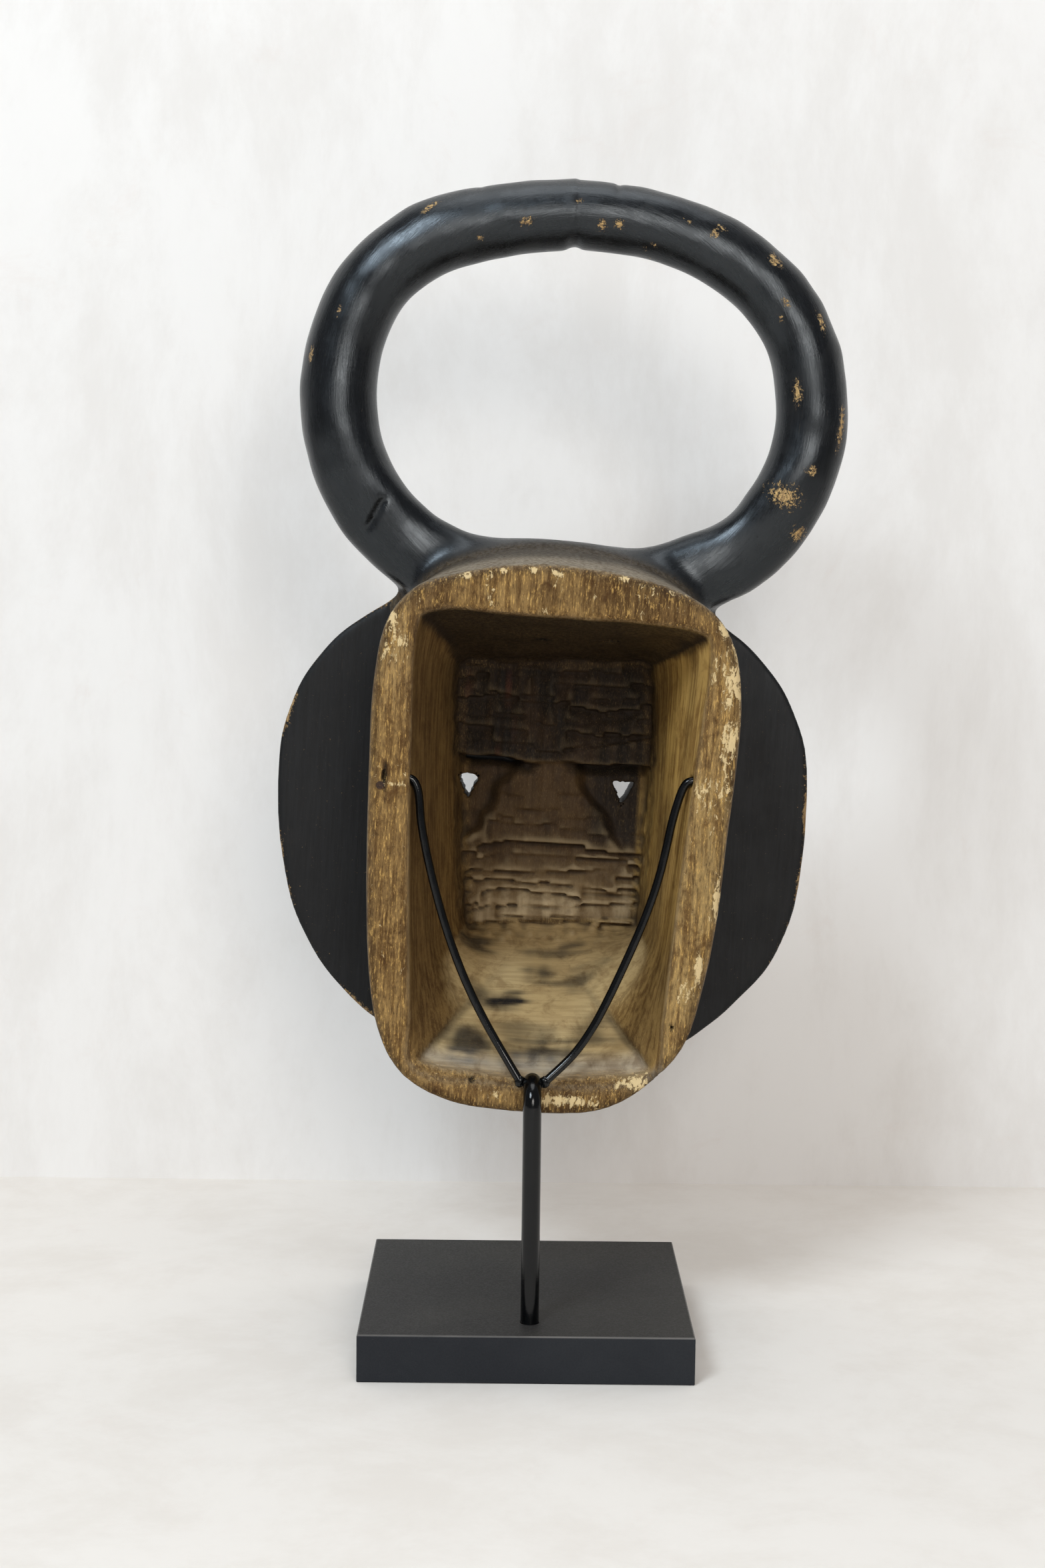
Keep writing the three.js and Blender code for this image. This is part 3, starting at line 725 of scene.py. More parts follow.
SMUDGES = [  # soot on the cavity's floor: where over x and y, how long, how wide and how dark
    (-16, 2, 14, 6, 1.0), (-31, 4, 9, 6, 0.7), (-36, 36, 12, 7, 0.8), (10, 33, 18, 6, 0.7),
    (24, 14, 16, 7, 0.7), (4, 20, 10, 7, 0.8), (-36, -28, 15, 11, 0.9), (2, -30, 26, 9, 0.9),
    (32, -20, 14, 10, 0.7), (-8, -18, 22, 6, 0.6),
]
RIM_WEAR = [  # pale worn spots along the rim: centre and half sizes
    ((94, -48, 60), (8, 8, 30)), ((95, -48, 28), (6, 8, 22)), ((93, -48, -58), (4, 8, 20)),
    ((86, -48, -96), (4, 8, 14)), ((-90, -48, 80), (5, 8, 14)), ((-33, -49, 111), (9, 6, 3)),
    ((-52, -49, 107), (5, 6, 4)), ((-16, -49, 112), (4, 6, 3)), ((31, -49, 110.5), (5, 6, 4)),
    ((-2, -49, 111), (5, 6, 3)), ((20, -50, -174), (34, 8, 6)), ((50, -48, -161), (20, 9, 8)),
    ((70, -49, 104), (18, 6, 3)),
    ((-84, -50, -6.5), (8, 8, 3)), ((88, -49, 86), (6, 8, 12)),
]


def paint_hood(mesh, p, facing, proud):
    """The hood's colours, wear and painted light and shade at each point: rim, cavity, end wall, outer skin
    and the ring's share.
    """
    x, y, z = p.T
    cloud = Cloud(p)
    side = cavity_side(cloud)
    broad, fine = cloud.noise((26, 26, 60), 20), cloud.noise((5, 9, 24), 21)
    patch = cloud.noise((9, 9, 22), 22)
    inside = step(3.5, 0.5, side) * step(-49, -44, y)
    skin = step(-5, -1.5, hood_outside(cloud)) * step(-49.5, -45, y) * (1 - inside)
    ring = step(7, 1, horn_ring(cloud)) * (1 - inside)
    rim = (1 - inside) * (1 - np.maximum(skin, ring))
    end = inside * step(-2.5, -6, side) * step(38, 42, y)
    wall = inside * (1 - end)
    bottom = wall * step(0.35, 0.6, facing[:, 2]) * (z < -60)
    top = wall * step(-0.35, -0.6, facing[:, 2]) * (z > 30)
    shade = step(0, 42, y) * step(-10, 60, z) * (0.75 - 0.4 * step(0, 20, x))
    soot = np.zeros(len(p))
    streaks = cloud.noise((16, 3, 0), 23)
    for sx, sy, long, wide, dark in SMUDGES:
        near = 1 - np.hypot((x - sx) / long, (y - sy) / wide)
        soot = np.maximum(soot, dark * step(-0.4, 0.8, near + 0.25 * fine + 0.45 * streaks))
    brow = step(0, 5, z)
    forehead, nose = end * brow, end * (1 - brow)
    gap = brow_line(x) - z
    planes = cloud.noise((3.5, 9, 26), 24)
    outline = loop_field(catmull(RIM_OUTER, 96), x, z)
    bruise = blot(p, (22, -50, 101), (62, 30, 11)) + 0.3 * patch
    tint = colour(
        ((142, 112, 67), np.ones(len(p))),
        ((88, 62, 32), step(-0.3, 0.7, broad) * 0.8),
        ((168, 138, 86), step(0.2, 0.9, patch) * 0.6),
        ((178, 150, 98), rim * step(40, 90, x) * step(60, -40, z) * 0.5),
        ((70, 48, 26), rim * step(0.0, 0.5, bruise) * 0.3),
        ((172, 142, 94), rim * step(-60, -88, x) * step(10, 60, z) * 0.45),
        ((104, 76, 42), rim * step(-60, -88, x) * step(0, -40, z) * step(-150, -90, z) * 0.35),
        ((50, 35, 22), rim * step(-6, -2, outline) * (0.55 + 0.35 * patch)),
        ((124, 97, 54), inside),
        # painted light: the right wall lighter and more golden, most towards the mouth
        ((188, 150, 80), inside * step(15, 60, x) * step(-0.8, 0.6, broad) * 0.9),
        ((198, 160, 92), inside * step(30, 60, x) * step(10, -30, y) * step(-90, -40, z) * 0.6),
        # painted shade: the left wall darker, most towards the mouth
        ((84, 62, 38), inside * step(-20, -60, x) * step(60, -30, y) * 0.4),
        ((112, 88, 52), inside * step(20, 60, x) * step(-60, -110, z) * 0.75),
        # painted shade: the cavity darker deep inside, most above the brow
        ((36, 26, 15), inside * step(32, 44, y) * brow * 0.85),
        ((62, 47, 28), inside * step(32, 44, y) * (1 - brow) * step(-100, -90, z) * 0.6),
        # painted shade: the forehead nearly black, where the cavity's roof shades it
        ((25, 16, 7), forehead),
        ((42, 28, 13), forehead * step(0.0, 0.7, planes) * 0.5),
        ((14, 9, 4), forehead * step(0.0, -0.7, planes) * 0.6),
        ((64, 27, 14), forehead * step(-16, -28, x) * step(0.1, 0.8, fine) * 0.8),
        ((48, 32, 16), forehead * step(0.1, 0.7, patch) * 0.6),
        ((66, 48, 27), nose),
        ((42, 29, 16), nose * step(0.0, -0.7, planes) * step(-60, -40, z) * 0.6),
        # painted shade in the eye hollows beside the nose, darkest on the right
        ((40, 28, 16), nose * step(-14, -28, x) * step(-34, -16, z) * 0.3),
        ((22, 14, 8), nose * step(18, 32, x) * step(-56, -34, z) * 0.9),
        ((102, 81, 53), end * step(-46, -78, z)),
        ((154, 134, 102), end * step(-0.5, 0.6, fine) * step(-64, -84, z) * 0.95),
        # painted shadow under the brow's ledge
        ((12, 8, 4), end * step(-1, 1, gap) * step(10, 2, gap) * step(6, 16, np.abs(x - 2)) * 0.9),
        # painted shade on the cavity's roof
        ((25, 17, 9), top * 0.92),
        ((46, 33, 20), wall * (1 - bottom) * shade),
        ((174, 149, 104), bottom),
        # painted shade: the floor darker deeper in
        ((118, 92, 56), bottom * step(6, 44, y) * 0.7),
        ((206, 184, 138), bottom * step(0.0, 0.9, broad) * step(44, 10, y) * 0.5),
        ((30, 27, 26), bottom * soot),
        # painted sheen: a grey band on the floor near the lip
        ((150, 148, 144), bottom * step(-28, -40, y) * step(-50, -44, y) * 0.5),
        ((112, 104, 92), skin),
        # dust and painted light: the hood's top lighter near the rim, where it faces up
        ((150, 140, 122), skin * step(96, 112, z) * step(30, -30, y) * 0.6),
        ((52, 47, 42), skin * step(-30, 20, y + 14 * broad) * 0.8),
        ((40, 39, 38), ring),
        # painted shade in the old holes
        ((16, 12, 8), step(0.9, 0.2, slots(cloud))),
    )
    attribute(mesh, "lip", rim)
    attribute(mesh, "smooth", bottom + end)
    attribute(mesh, "tint", tint)
    attribute(mesh, "paint", ring)
    # painted shade: darker where the surface is hollow, inside the cavity
    attribute(mesh, "painted_hollow_shade", step(-0.04, -0.5, proud) * inside)
    # painted highlight: lighter on ridges inside the cavity, mostly low down
    attribute(mesh, "ridge_wear_and_highlight", step(0.04, 0.5, proud) * inside * (step(-20, -48, z) + 0.16 * end * brow))
    pale = rim * step(0.1, 0.8, patch) * 0.55 - 0.5 * (1 - rim)
    for centre, size in RIM_WEAR:
        pale = np.maximum(pale, blot(p, centre, size) + 0.35 * fine)
    attribute(mesh, "worn", np.clip(pale, -0.5, 1.2))
    along_y = (bottom > 0.5)[:, None]
    attribute(mesh, "grain", p * (1 - along_y) + p[:, [1, 2, 0]] * along_y)
    chips, bar = ring_wear(p, proud)
    attribute(mesh, "chips", chips)
    attribute(mesh, "bar", bar)


# Bare spots on the ring: x, z and half length round the ring and across it. Their places were turned from
# points of the photo into millimetres by a scratch program.
RING_CHIPS = [
    (123.8, 163, 5, 8), (134.2, 142.3, 3, 4), (138.3, 178, 2, 3), (127.7, 221.3, 6, 2),
    (154.3, 203.2, 9, 1.6), (139, 261.4, 5, 1.5), (110.1, 294.5, 4, 2.5), (-31, 307, 4, 2),
    (11.3, 307.5, 3, 2.5), (20.9, 308.5, 3, 2.5), (74.8, 306.6, 2, 2.5), (-107, 209.2, 2, 1.2),
    (-148.6, 226.3, 4, 1.2), (-1.9, 320.1, 2, 1.2), (-85.9, 311.9, 5, 1.2), (-133.6, 251.2, 2.5, 1.2),
    (117.5, 271, 3, 1.5), (-56.8, 296.3, 2, 1.2),
]
CHIP_Y, CHIP_DEPTH, CHIP_SPREAD = 34.0, 22, 1.3
STRAY_CHIPS = 80


def ring_wear(p, proud):
    """Where the ring's paint is worn through, above 0, and its coordinates along the bar."""
    around, out, back = ring_coordinates(p)
    rng = np.random.default_rng([SEED, 31])
    spots = [((x, CHIP_Y, z), *CHIP_SPREAD * np.array(size), CHIP_DEPTH) for x, z, *size in RING_CHIPS]
    for _ in range(STRAY_CHIPS):
        turn, lean = rng.uniform(0, 2 * math.pi, 2)
        turn = turn if rng.uniform() < 0.45 else turn / 2
        reach = 110 + 22 * math.cos(lean)
        x, z = RING_MIDDLE + reach * np.array([math.sin(turn), math.cos(turn)])
        place = (x, HORN_Y + 21 * math.sin(lean), z)
        size = rng.uniform(0.9, 1.9)
        spots.append((place, size * rng.uniform(1.2, 3.5), size, size * 2))
    worn = np.full(len(p), -1.0)
    for centre, long, wide, deep in spots:
        a, b, c = ring_coordinates(np.array([centre]))
        d = np.sqrt(((around - a) / long) ** 2 + ((out - b) / wide) ** 2 + ((back - c) / deep) ** 2)
        worn = np.maximum(worn, 0.8 - 0.8 * d)
    edge = step(0.25, 0.8, proud) * (0.9 * Cloud(p).noise((14, 14, 14), 33) - 0.1)
    return np.maximum(worn, edge - 0.8 * (edge <= 0.05)), np.stack([out, back, around], 1)


def paint_ring(mesh, p, facing, proud):
    """A horn's worn spots."""
    worn, bar = ring_wear(p, proud)
    attribute(mesh, "worn", worn)
    attribute(mesh, "grain", bar)


def paint_face(mesh, p, facing, proud):
    """The face's worn edge and relief, and where it shares the horns' polish."""
    cloud = Cloud(p)
    rim = step(0.975, 0.997, face_share(cloud.X, cloud.Z)) * step(72, 65, cloud.Y)
    worn = np.maximum(-1.0, rim * (0.2 + 1.0 * cloud.noise((20, 20, 20), 32)) - 1.0 * (1 - rim))
    ridge = step(0.5, 1.4, proud) * (0.1 + 0.9 * cloud.noise((9, 9, 9), 33))
    # worn paint on the relief's front crests
    ridge_wear_and_highlight = step(0.08, 0.45, proud) * step(85.5, 88, cloud.Y) * (0.8 + 0.25 * cloud.noise((7, 7, 7), 34))
    attribute(mesh, "worn", np.clip(np.maximum(worn, np.maximum(ridge - 0.6, ridge_wear_and_highlight - 0.45)), -1.0, 1.2))
    attribute(mesh, "grain", p)
    attribute(mesh, "polish", step(14, 2, horn_ring(cloud)))


def wood_finish():
    """Bare wood, with the ring's black paint where the crown belongs to it, painted shade in hollows and
    painted highlights on ridges.
    """
    f = Finish("raw_wood_hood")
    grain, lip = f.attribute("grain", "Vector"), f.attribute("lip")
    streak = f.noise(f.stretch(grain, 0.06), 0.42, 5, 0.6, 0.2)
    fibre = f.noise(f.stretch(grain, 0.16), 2.4, 4, 0.7)
    mottle = f.noise(grain, 0.075, 6, 0.68, 0.5)
    stipple = f.noise(f.stretch(grain, 0.17), 1.0, 6, 0.8)
    flake = f.noise(f.stretch(grain, 0.45), 0.36, 6, 0.75, 0.5)
    tint = f.attribute("tint", "Color")
    darker = f.mix(1.0, tint, linear(138, 112, 84), "MULTIPLY")
    calm = f.math("MULTIPLY_ADD", f.attribute("smooth"), -0.65, 1.0)
    base = f.mix(f.times(f.band(streak, 0.58, 0.4), 0.6, calm), tint, darker)
    base = f.mix(f.times(f.band(fibre, 0.5, 0.75), 0.3, calm), base, linear(206, 170, 108))
    base = f.mix(f.times(f.band(mottle, 0.54, 0.32), f.math("MULTIPLY_ADD", lip, 0.3, 0.45)), base, darker)
    base = f.mix(f.times(f.band(stipple, 0.48, 0.37), 0.75, lip), base, linear(62, 42, 22))
    base = f.mix(f.times(f.band(stipple, 0.54, 0.63), 0.75, lip), base, linear(214, 172, 100))
    bare = f.add(f.attribute("worn"), f.times(f.math("SUBTRACT", flake, 0.5), 3.4))
    bare = f.band(bare, 0.5, 0.62)
    base = f.mix(f.times(bare, 0.85), base, linear(226, 200, 150))
    # painted shade in the hollows
    base = f.mix(f.times(f.attribute("painted_hollow_shade"), 0.75), base, linear(34, 24, 15))
    # painted highlight on the ridges
    base = f.mix(f.times(f.attribute("ridge_wear_and_highlight"), 0.4), base, linear(178, 156, 120))
    rough = f.band(streak, 0.2, 0.8, 0.85, 0.6)
    height = f.add(f.times(streak, 0.4), f.times(fibre, 0.3))
    height = f.add(height, f.times(stipple, lip, 0.5))
    height = f.add(height, f.times(bare, -0.2))
    height = f.times(height, calm)
    bar, chips = f.attribute("bar", "Vector"), f.attribute("chips")
    tone, shine, relief = black_paint(f, bar, chips, GLOSSY, BARE_HORN)
    paint = f.attribute("paint")
    f.set("Base Color", f.mix(paint, base, tone))
    f.set("Roughness", f.blend(paint, rough, shine))
    f.set("Specular IOR Level", f.blend(paint, 0.18, GLOSS))
    # painted cool reflection on the ring's black paint
    f.set("Specular Tint", f.mix(paint, (1, 1, 1), COOL_REFLECTION_TINT))
    f.set("Normal", f.bump(f.blend(paint, height, f.times(relief, 0.3)), 0.0009, 0.8))
    return f.material


def black_paint(f, grain, worn, roughness, pale):
    """Old black paint on wood, worn through where worn is high: its colour, its roughness and its height."""
    streak = f.noise(f.stretch(grain, 0.05), 0.5, 6, 0.65)
    fibre = f.noise(f.stretch(grain, 0.06), 1.8, 4, 0.7)
    cloud = f.noise(grain, 0.05, 4, 0.6)
    speck = f.noise(grain, 0.6, 6, 0.8)
    paint = f.mix(f.band(streak, 0.35, 0.7), linear(6, 6, 7), linear(16, 17, 19))
    paint = f.mix(f.times(f.band(cloud, 0.52, 0.75), 0.25), paint, linear(34, 32, 30))
    scratch = f.noise(f.stretch(grain, 0.035), 1.7, 4, 0.7)
    paint = f.mix(f.times(f.band(scratch, 0.66, 0.74), 0.3), paint, linear(96, 84, 66))
    bare = f.add(worn, f.times(f.math("SUBTRACT", speck, 0.5), 4.5))
    chip = f.band(bare, 0.30, 0.40)
    wood = f.mix(f.band(fibre, 0.35, 0.65), linear(104, 76, 44), linear(*pale))
    paint = f.mix(f.times(f.band(bare, 0.1, 0.35), 0.5), paint, linear(58, 42, 28))
    shine = f.band(cloud, 0.3, 0.7, roughness - 0.05, roughness + 0.08)
    shine = f.add(shine, f.band(fibre, 0.3, 0.8, -0.04, 0.08))
    shine = f.add(shine, f.times(chip, 0.4), clamp=True)
    height = f.add(f.times(streak, 0.5), f.times(fibre, 0.3))
    return f.mix(chip, paint, wood), shine, f.math("SUBTRACT", height, f.times(chip, 0.35))


def black_finish(name, roughness, level, pale, strength, polish=0.0):
    """Black paint; where the attribute "polish" is 1 it is as smooth and bright as the horns' paint."""
    f = Finish(name, Specular_IOR_Level=level)
    tone, shine, height = black_paint(f, f.attribute("grain", "Vector"), f.attribute("worn"), roughness, pale)
    if polish:
        share = f.attribute("polish")
        shine = f.math("SUBTRACT", shine, f.times(share, polish))
        f.set("Specular IOR Level", f.blend(share, level, GLOSS))
        # painted cool reflection where the face is polished
        f.set("Specular Tint", f.mix(share, (1, 1, 1), COOL_REFLECTION_TINT))
    else:
        # painted cool reflection
        f.set("Specular Tint", (*COOL_REFLECTION_TINT, 1.0))
    f.set("Base Color", tone)
    f.set("Roughness", shine)
    f.set("Normal", f.bump(height, 0.00034, strength))
    return f.material


def add_piece(name, mesh, finish, body, slot, *nodes):
    """One piece of the model, which rides on a body and stands for the CAD nodes it names."""
    mesh.materials.append(finish)
    piece = new_object(name, mesh)
    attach(piece, body)
    if nodes:
        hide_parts(*nodes)


def build_carving():
    """The mask: one surface, cut where its materials and CAD nodes meet."""
    whole = shape_carving()
    keep(whole)
    (c0, s0), (c1, s1) = [(math.cos(a), math.sin(a)) for a in HORN_CUTS]
    middle, tip, behind = (RING_MIDDLE[0], 0, RING_MIDDLE[1]), (TIP_X, 0, 0), (0, SPLIT_Y, 0)
    to_left, to_right = Vector((s0, 0, -c0)), Vector((-s1, 0, c1))  # out of the crown, into each horn
    below = [(middle, to_left), (middle, to_right)]
    wood = wood_finish()
    horn = black_finish("black_wood_horns", GLOSSY, GLOSS, BARE_HORN, 0.8)
    matte = black_finish("black_wood_face", 0.5, 0.3, BARE_FACE, 0.9, 0.25)
    left = [(middle, -to_left), (tip, Vector((1, 0, 0)))]
    right = [(middle, -to_right), (tip, Vector((-1, 0, 0)))]
    plan = [
        ("carved_hood", [(behind, Vector((0, 1, 0))), *below], paint_hood, wood, "raw_wood", "hood_shell"),
        ("carved_face", [(behind, Vector((0, -1, 0))), *below], paint_face, matte, "black_wood", "face_disc"),
        ("carved_horn_left", left, paint_ring, horn, "black_wood", "horn_left"),
        ("carved_horn_right", right, paint_ring, horn, "black_wood", "horn_right"),
    ]
    for name, planes, paint, finish, slot, node in plan:
        mesh = split(whole, name, planes)
        points = coordinates(mesh)
        facing, proud = take(mesh, "facing"), take(mesh, "proud")
        paint(mesh, points, facing, proud)
        lean_mesh(mesh, facing)
        add_piece(name, mesh, finish, "mask", slot, node)
    bpy.data.meshes.remove(whole)


# ---- The stand ----

ROD_X, ROD_Y, ROD_FOOT, ROD_RADIUS = 2.0, -66.0, 14.3, 5.0
BEND_Z, BEND_RADIUS, ROD_END_Y, DOME = 143.0, 12.0, -50.6, 2.4
WELD_RADII, MERGE = (2.9, 2.4, 3.3), 0.0004
WIRE_RADIUS, WIRE_ROOT_Y = 2.3, -54.0
WIRE_LEFT = [
    [-4.6, 155.4], [-10, 163.6], [-21, 181.8], [-31.6, 202.7], [-41.1, 223.6], [-47.9, 244.4],
    [-53.9, 267.2], [-58.2, 285.8], [-60.6, 300.5], [-61, 310],
]
WIRE_RIGHT = [
    [8.6, 155.2], [19.7, 164.4], [32, 180.3], [42.1, 199.3], [51.1, 218.3], [59.1, 235.1],
    [66, 256.1], [71.9, 276.9], [77.2, 299.8], [79.8, 310],
]


def shade_smooth(mesh):
    for face in mesh.polygons:
        face.use_smooth = True
    return mesh


def rounds(rows, sides, flip=False):
    """The quads between rows of points that each go once round."""
    quads = []
    for i in range(rows - 1):
        for j in range(sides):
            a, b = i * sides + j, i * sides + (j + 1) % sides
            quads.append((a, a + sides, b + sides, b) if flip else (a, b, b + sides, a + sides))
    return quads


def tube(name, line, radii, sides):
    """A round bar along a line of points, with its own radius at each."""
    line, radii = np.array(line, float), np.broadcast_to(np.array(radii, float), len(line))
    along = np.gradient(line, axis=0)
    along /= np.linalg.norm(along, axis=1)[:, None]
    across = np.cross(along[0], (0.3, 0.9, 0.2))  # any direction that isn't along the line
    rings, grain = [], []
    length = np.concatenate([[0], np.cumsum(np.linalg.norm(np.diff(line, axis=0), axis=1))])
    for point, way, radius, far in zip(line, along, radii, length):
        across = across - way * (across @ way)
        across /= np.linalg.norm(across)
        other = np.cross(way, across)
        turn = 2 * math.pi * np.arange(sides)[:, None] / sides
        rings.append(point + radius * (across * np.cos(turn) + other * np.sin(turn)))
        grain.append(np.hstack([radius * np.cos(turn), radius * np.sin(turn), np.full((sides, 1), far)]))
    count = len(line)
    ends = [tuple(range(sides))[::-1], tuple(range((count - 1) * sides, count * sides))]
    faces = rounds(count, sides) + ends
    mesh = new_mesh(name, np.vstack(rings) * MM, faces)
    attribute(mesh, "grain", np.vstack(grain))
    return shade_smooth(mesh)


def rounded_end(line, radius, reach, steps=5):
    """Closes a line's end as a dome: the line again with more points, and the radius at each."""
    line = np.array(line, float)
    way = line[-1] - line[-2]
    way /= np.linalg.norm(way)
    turns = np.linspace(0, 1, steps + 1)[1:] * math.radians(82)
    extra = [line[-1] + way * reach * math.sin(t) for t in turns]
    return np.vstack([line, extra]), [radius] * len(line) + [radius * math.cos(t) for t in turns]


def rod_line():
    """The rod's middle line: up, then bent forward under the lip."""
    up = [[ROD_X, ROD_Y, z] for z in np.linspace(ROD_FOOT, BEND_Z, 24)]
    turns = np.linspace(0, math.pi / 2, 13)[1:]
    bend = [
        [ROD_X, ROD_Y + BEND_RADIUS * (1 - math.cos(t)), BEND_Z + BEND_RADIUS * math.sin(t)] for t in turns
    ]
    return up + bend + [[ROD_X, ROD_END_Y - DOME, BEND_Z + BEND_RADIUS]]


def wire_line(side, line):
    """A wire's middle line: up from its weld, then turned out into the wall's hole."""
    xs, zs = np.array(line, float).T
    root = zs[0]
    curve = np.polyfit(zs, xs, 5)
    points = []
    for z in np.linspace(root, zs[-1], 12):
        share = math.sqrt(max(0, z - root) / (PIVOT_Z - root))
        points.append([np.polyval(curve, z), WIRE_ROOT_Y + (PIVOT_Y - WIRE_ROOT_Y) * share, z])
    points += [
        [WALLS[side] - side * 1.2, PIVOT_Y, PIVOT_Z - 2],
        [WALLS[side] + side * 2, PIVOT_Y, PIVOT_Z],
        [WALLS[side] + side * 8.0, PIVOT_Y, PIVOT_Z],
    ]
    line = catmull(points, 150, closed=False)
    for _ in range(8):
        line[1:-1] = (line[:-2] + 2 * line[1:-1] + line[2:]) / 4
    return line


def weld(name, centre, toward):
    """A weld bead: overlapping ripples laid round the joint of a wire and the rod."""
    rng = np.random.default_rng([SEED, 50 + int(centre[0])])
    turns, rows = 28, 14
    points = []
    for i in range(rows + 1):
        v = math.pi * i / rows
        for j in range(turns):
            u = 2 * math.pi * j / turns
            ripple = 1 + 0.05 * math.sin(9 * v + 2 * math.sin(u)) + 0.03 * rng.uniform(-1, 1)
            points.append([
                centre[0] + WELD_RADII[0] * ripple * math.sin(v) * math.cos(u) + toward * 0.2,
                centre[1] + WELD_RADII[1] * ripple * math.sin(v) * math.sin(u),
                centre[2] + WELD_RADII[2] * ripple * math.cos(v),
            ])
    mesh = new_mesh(name, np.array(points) * MM, rounds(rows + 1, turns, flip=True))
    bm = bmesh.new()
    bm.from_mesh(mesh)
    bmesh.ops.remove_doubles(bm, verts=bm.verts[:], dist=MERGE)
    bmesh.ops.recalc_face_normals(bm, faces=bm.faces[:])
    bm.to_mesh(mesh)
    bm.free()
    attribute(mesh, "grain", coordinates(mesh) / MM)
    return shade_smooth(mesh)


def steel_finish():
    f = Finish("black_steel", Specular_IOR_Level=0.32)
    grain = f.attribute("grain", "Vector")
    speck = f.noise(grain, 2.2, 5, 0.8)
    cloud = f.noise(grain, 0.12, 3)
    orange = f.noise(grain, 1.2, 2)
    paint = f.mix(f.band(cloud, 0.35, 0.7), linear(3, 4, 5), linear(8, 9, 10))
    chip = f.band(speck, 0.69, 0.73)
    f.set("Base Color", f.mix(chip, paint, linear(110, 100, 86)))
    f.set("Roughness", f.add(f.band(cloud, 0.3, 0.7, 0.09, 0.16), f.times(chip, 0.4), clamp=True))
    f.set("Normal", f.bump(f.add(f.times(orange, 0.5), f.times(speck, 0.2)), 0.00012, 0.6))
    return f.material


def block_finish():
    f = Finish("block_paint", Specular_IOR_Level=0.3)
    place = f.place()
    fine = f.noise(place, 900, 4, 0.7)
    cloud = f.noise(place, 14, 4, 0.6)
    fleck = f.noise(place, 420, 5, 0.85)
    geometry = f.node("ShaderNodeNewGeometry")
    up = f.node("ShaderNodeSeparateXYZ", _0=geometry.outputs["Normal"]).outputs["Z"]
    top = f.band(up, 0.3, 0.9)
    front = f.mix(f.band(cloud, 0.35, 0.7), linear(22, 25, 31), linear(30, 33, 38))
    dust = f.mix(f.band(cloud, 0.35, 0.7), linear(40, 38, 37), linear(50, 48, 45))
    paint = f.mix(top, front, dust)
    paint = f.mix(f.times(f.band(fleck, 0.68, 0.74), 0.5), paint, linear(112, 110, 106))
    height = f.node("ShaderNodeSeparateXYZ", _0=place).outputs["Z"]
    line = f.times(f.band(height, 0.0249, 0.0257), f.math("SUBTRACT", 1.0, f.band(up, 0.9, 0.99)))
    edge = f.times(line, f.band(cloud, 0.3, 0.6, 0.3, 0.7))
    f.set("Base Color", f.mix(edge, paint, linear(120, 116, 112)))
    f.set("Roughness", f.band(fine, 0.3, 0.7, 0.5, 0.68))
    f.set("Normal", f.bump(fine, 0.0002, 0.5))
    return f.material


def metal_finish(name, dark, light, metallic, rough):
    f = Finish(name, Metallic=metallic)
    place = f.place()
    spots = f.noise(place, 700, 4, 0.7)
    f.set("Base Color", f.mix(f.band(spots, 0.4, 0.62), linear(*dark), linear(*light)))
    f.set("Roughness", f.band(spots, 0.3, 0.7, rough, rough + 0.25))
    f.set("Normal", f.bump(spots, 0.0002, 0.6))
    return f.material


def build_stand():
    """The rod, its two wires and their welds; the block and the small hardware keep their CAD form."""
    steel = steel_finish()
    line, radii = rounded_end(rod_line(), ROD_RADIUS, DOME)
    add_piece("stem", tube("stem", line, radii, 40), steel, "stand", "black_steel", "stem_rod")
    for side, name, points in ((-1, "left", WIRE_LEFT), (1, "right", WIRE_RIGHT)):
        mesh = tube("wire_" + name, wire_line(side, points), WIRE_RADIUS, 20)
        add_piece("wire_" + name, mesh, steel, "stand", "black_steel", "fork_arm_" + name)
        x, z = points[0]
        bead = weld("weld_" + name, (x, WIRE_ROOT_Y, z), side)
        add_piece("weld_" + name, bead, steel, "stand", "black_steel")
    finishes = {
        "base_block": block_finish(),
        "rim_nail": metal_finish("old_iron", (40, 30, 24), (84, 60, 44), 0.6, 0.5),
        "stem_screw": metal_finish("bare_steel", (150, 150, 148), (190, 190, 186), 1.0, 0.3),
    }
    finishes["screw_washer"] = finishes["stem_screw"]
    for node, finish in finishes.items():
        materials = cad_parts[node].data.materials
        materials.clear()
        materials.append(finish)


# ---- The studio, in metres ----

STUDIO_REACH, WALL_Y, WALL_HEIGHT = 12.0, 0.325, 2.6
LIGHTS = [  # name, place, aim, watts, tint and width
    ("key", (-1.15, -2.1, 2.35), (0, 0, 0.3), 52, (0.80, 0.91, 1.0), 0.95),
    ("fill", (0.42, -2.6, 1.1), (0, 0, 0.3), 24, (1.0, 0.96, 0.91), 1.0),
    ("top", (0.1, -0.3, 2.6), (0, 0.1, 0), 17, (0.97, 0.99, 1.0), 1.6),
]
ROOM_TINT, ROOM_STRENGTH = (0.96, 0.97, 1.0, 1), 0.23
CAMERA_PLACE = -0.0127, -1.2815, 0.4237
CAMERA_TURNS = -0.35, -4.97, -0.68  # yaw, pitch and roll in degrees
LENS_MM, SENSOR_MM = 52.88, 36.0


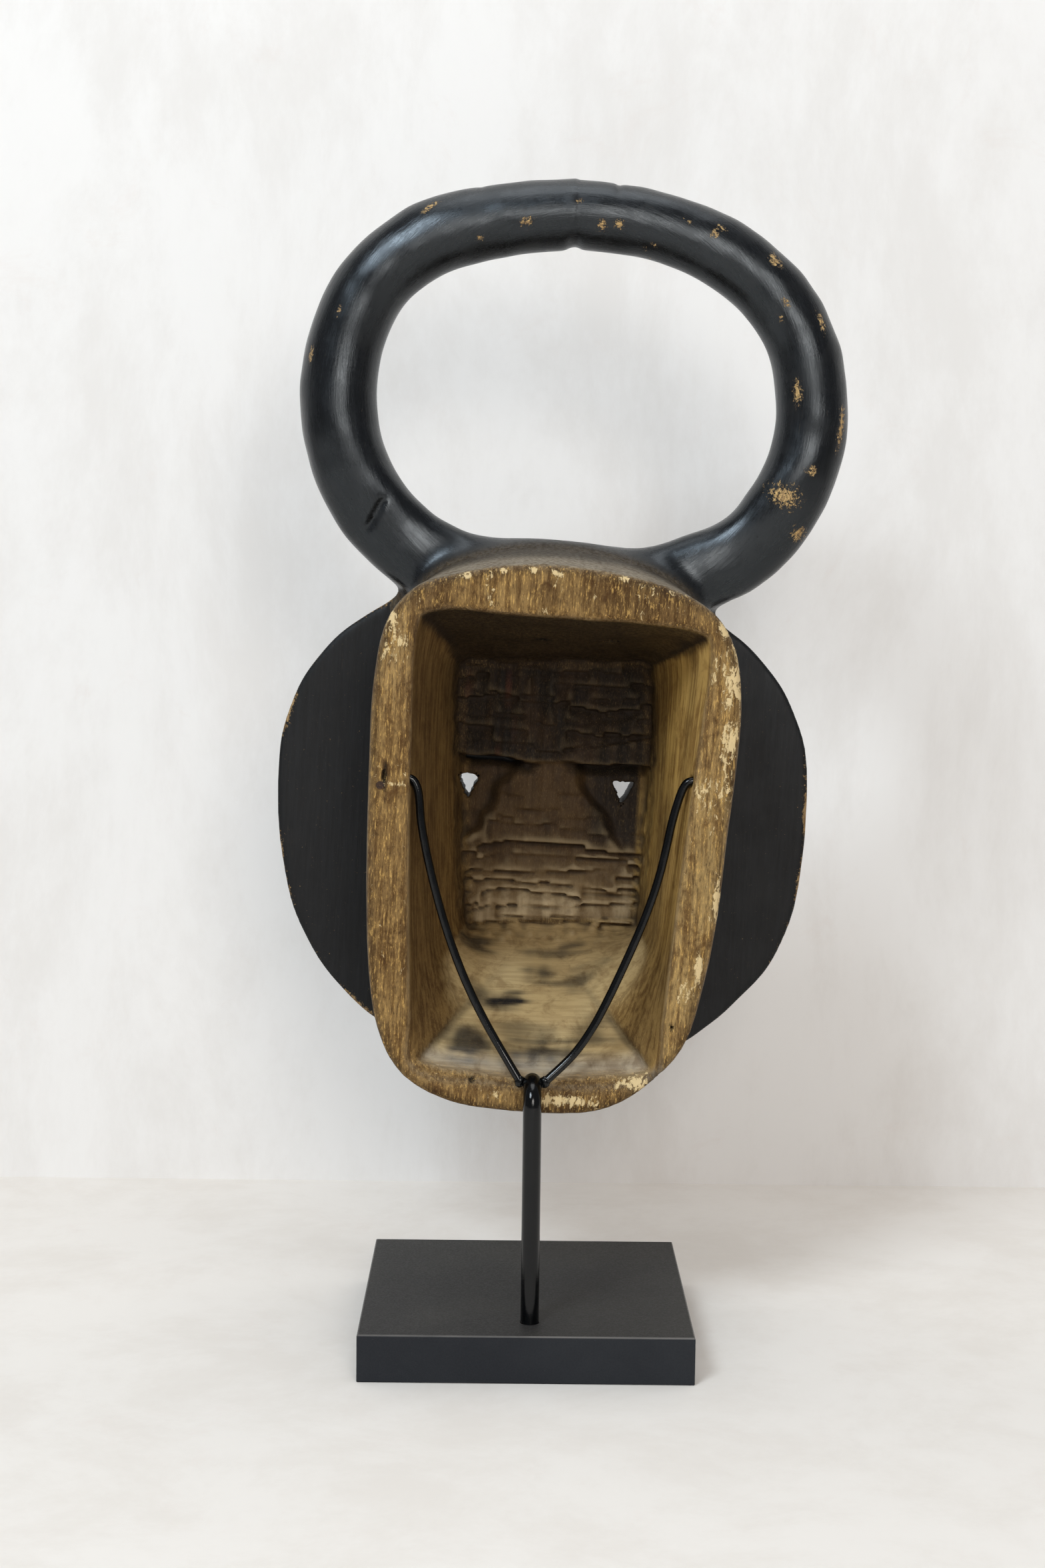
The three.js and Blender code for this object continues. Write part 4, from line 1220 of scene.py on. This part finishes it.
def studio_sheet(name, points, low, high, one_sided=False):
    """A four-cornered sheet of faintly stained paper. A one-sided sheet can't be seen from behind."""
    f = Finish(name, Roughness=0.9)
    place = f.place()
    wash = f.noise(f.stretch(place, 0.4), 9.0, 7, 0.72, 0.2)
    stain = f.noise(place, 16.0, 6, 0.75, 0.6)
    base = f.mix(f.band(wash, 0.34, 0.6), linear(*low), linear(*high))
    base = f.mix(f.times(f.band(stain, 0.56, 0.75), 0.2), base, linear(224, 210, 202))
    f.set("Base Color", base)
    if one_sided:
        back = f.node("ShaderNodeNewGeometry").outputs["Backfacing"]
        clear = f.node("ShaderNodeBsdfTransparent").outputs[0]
        both = f.node("ShaderNodeMixShader", _0=back, _1=f.shader.outputs[0], _2=clear)
        f.tree.links.new(both.outputs[0], f.tree.nodes["Material Output"].inputs["Surface"])
    sheet = new_object(name, new_mesh(name, points, [(0, 1, 2, 3)]))
    sheet.data.materials.append(f.material)


def add_light(name, place, aim, power, tint, size):
    """A round soft light."""
    data = bpy.data.lights.new(name, "AREA")
    data.energy, data.color, data.shape, data.size = power, tint, "DISK", size
    lamp = new_object(name, data)
    lamp.location = place
    lamp.rotation_euler = (Vector(aim) - Vector(place)).to_track_quat("-Z", "Y").to_euler()


def build_studio():
    far, back, high = STUDIO_REACH, WALL_Y, WALL_HEIGHT
    floor = [(-far, -far, 0), (far, -far, 0), (far, far, 0), (-far, far, 0)]
    studio_sheet("studio_floor", floor, (228, 221, 213), (234, 228, 221))
    wall = [(-far, back, 0), (far, back, 0), (far, back, high), (-far, back, high)]
    studio_sheet("studio_wall", wall, (231, 227, 223), (239, 236, 233), one_sided=True)
    for light in LIGHTS:
        add_light(*light)
    world = bpy.data.worlds.new("soft_room")
    world.use_nodes = True
    background = world.node_tree.nodes["Background"]
    background.inputs["Color"].default_value = ROOM_TINT
    background.inputs["Strength"].default_value = ROOM_STRENGTH
    bpy.context.scene.world = world
    bpy.context.scene.view_settings.view_transform = "Standard"


def build_camera():
    """The photo's own view."""
    data = bpy.data.cameras.new("camera")
    data.lens, data.sensor_width, data.dof.use_dof = LENS_MM, SENSOR_MM, False
    camera = new_object("camera", data)
    yaw, pitch, roll = (math.radians(turn) for turn in CAMERA_TURNS)
    turn = Matrix.Rotation(yaw, 4, "Z") @ Matrix.Rotation(pitch, 4, "X") @ Matrix.Rotation(roll, 4, "Y")
    place = Matrix.Translation(CAMERA_PLACE)
    camera.matrix_world = place @ turn @ Matrix.Rotation(math.pi / 2, 4, "X")
    bpy.context.scene.camera = camera


build_camera()
build_studio()
build_stand()
build_carving()

bpy.context.view_layer.update()
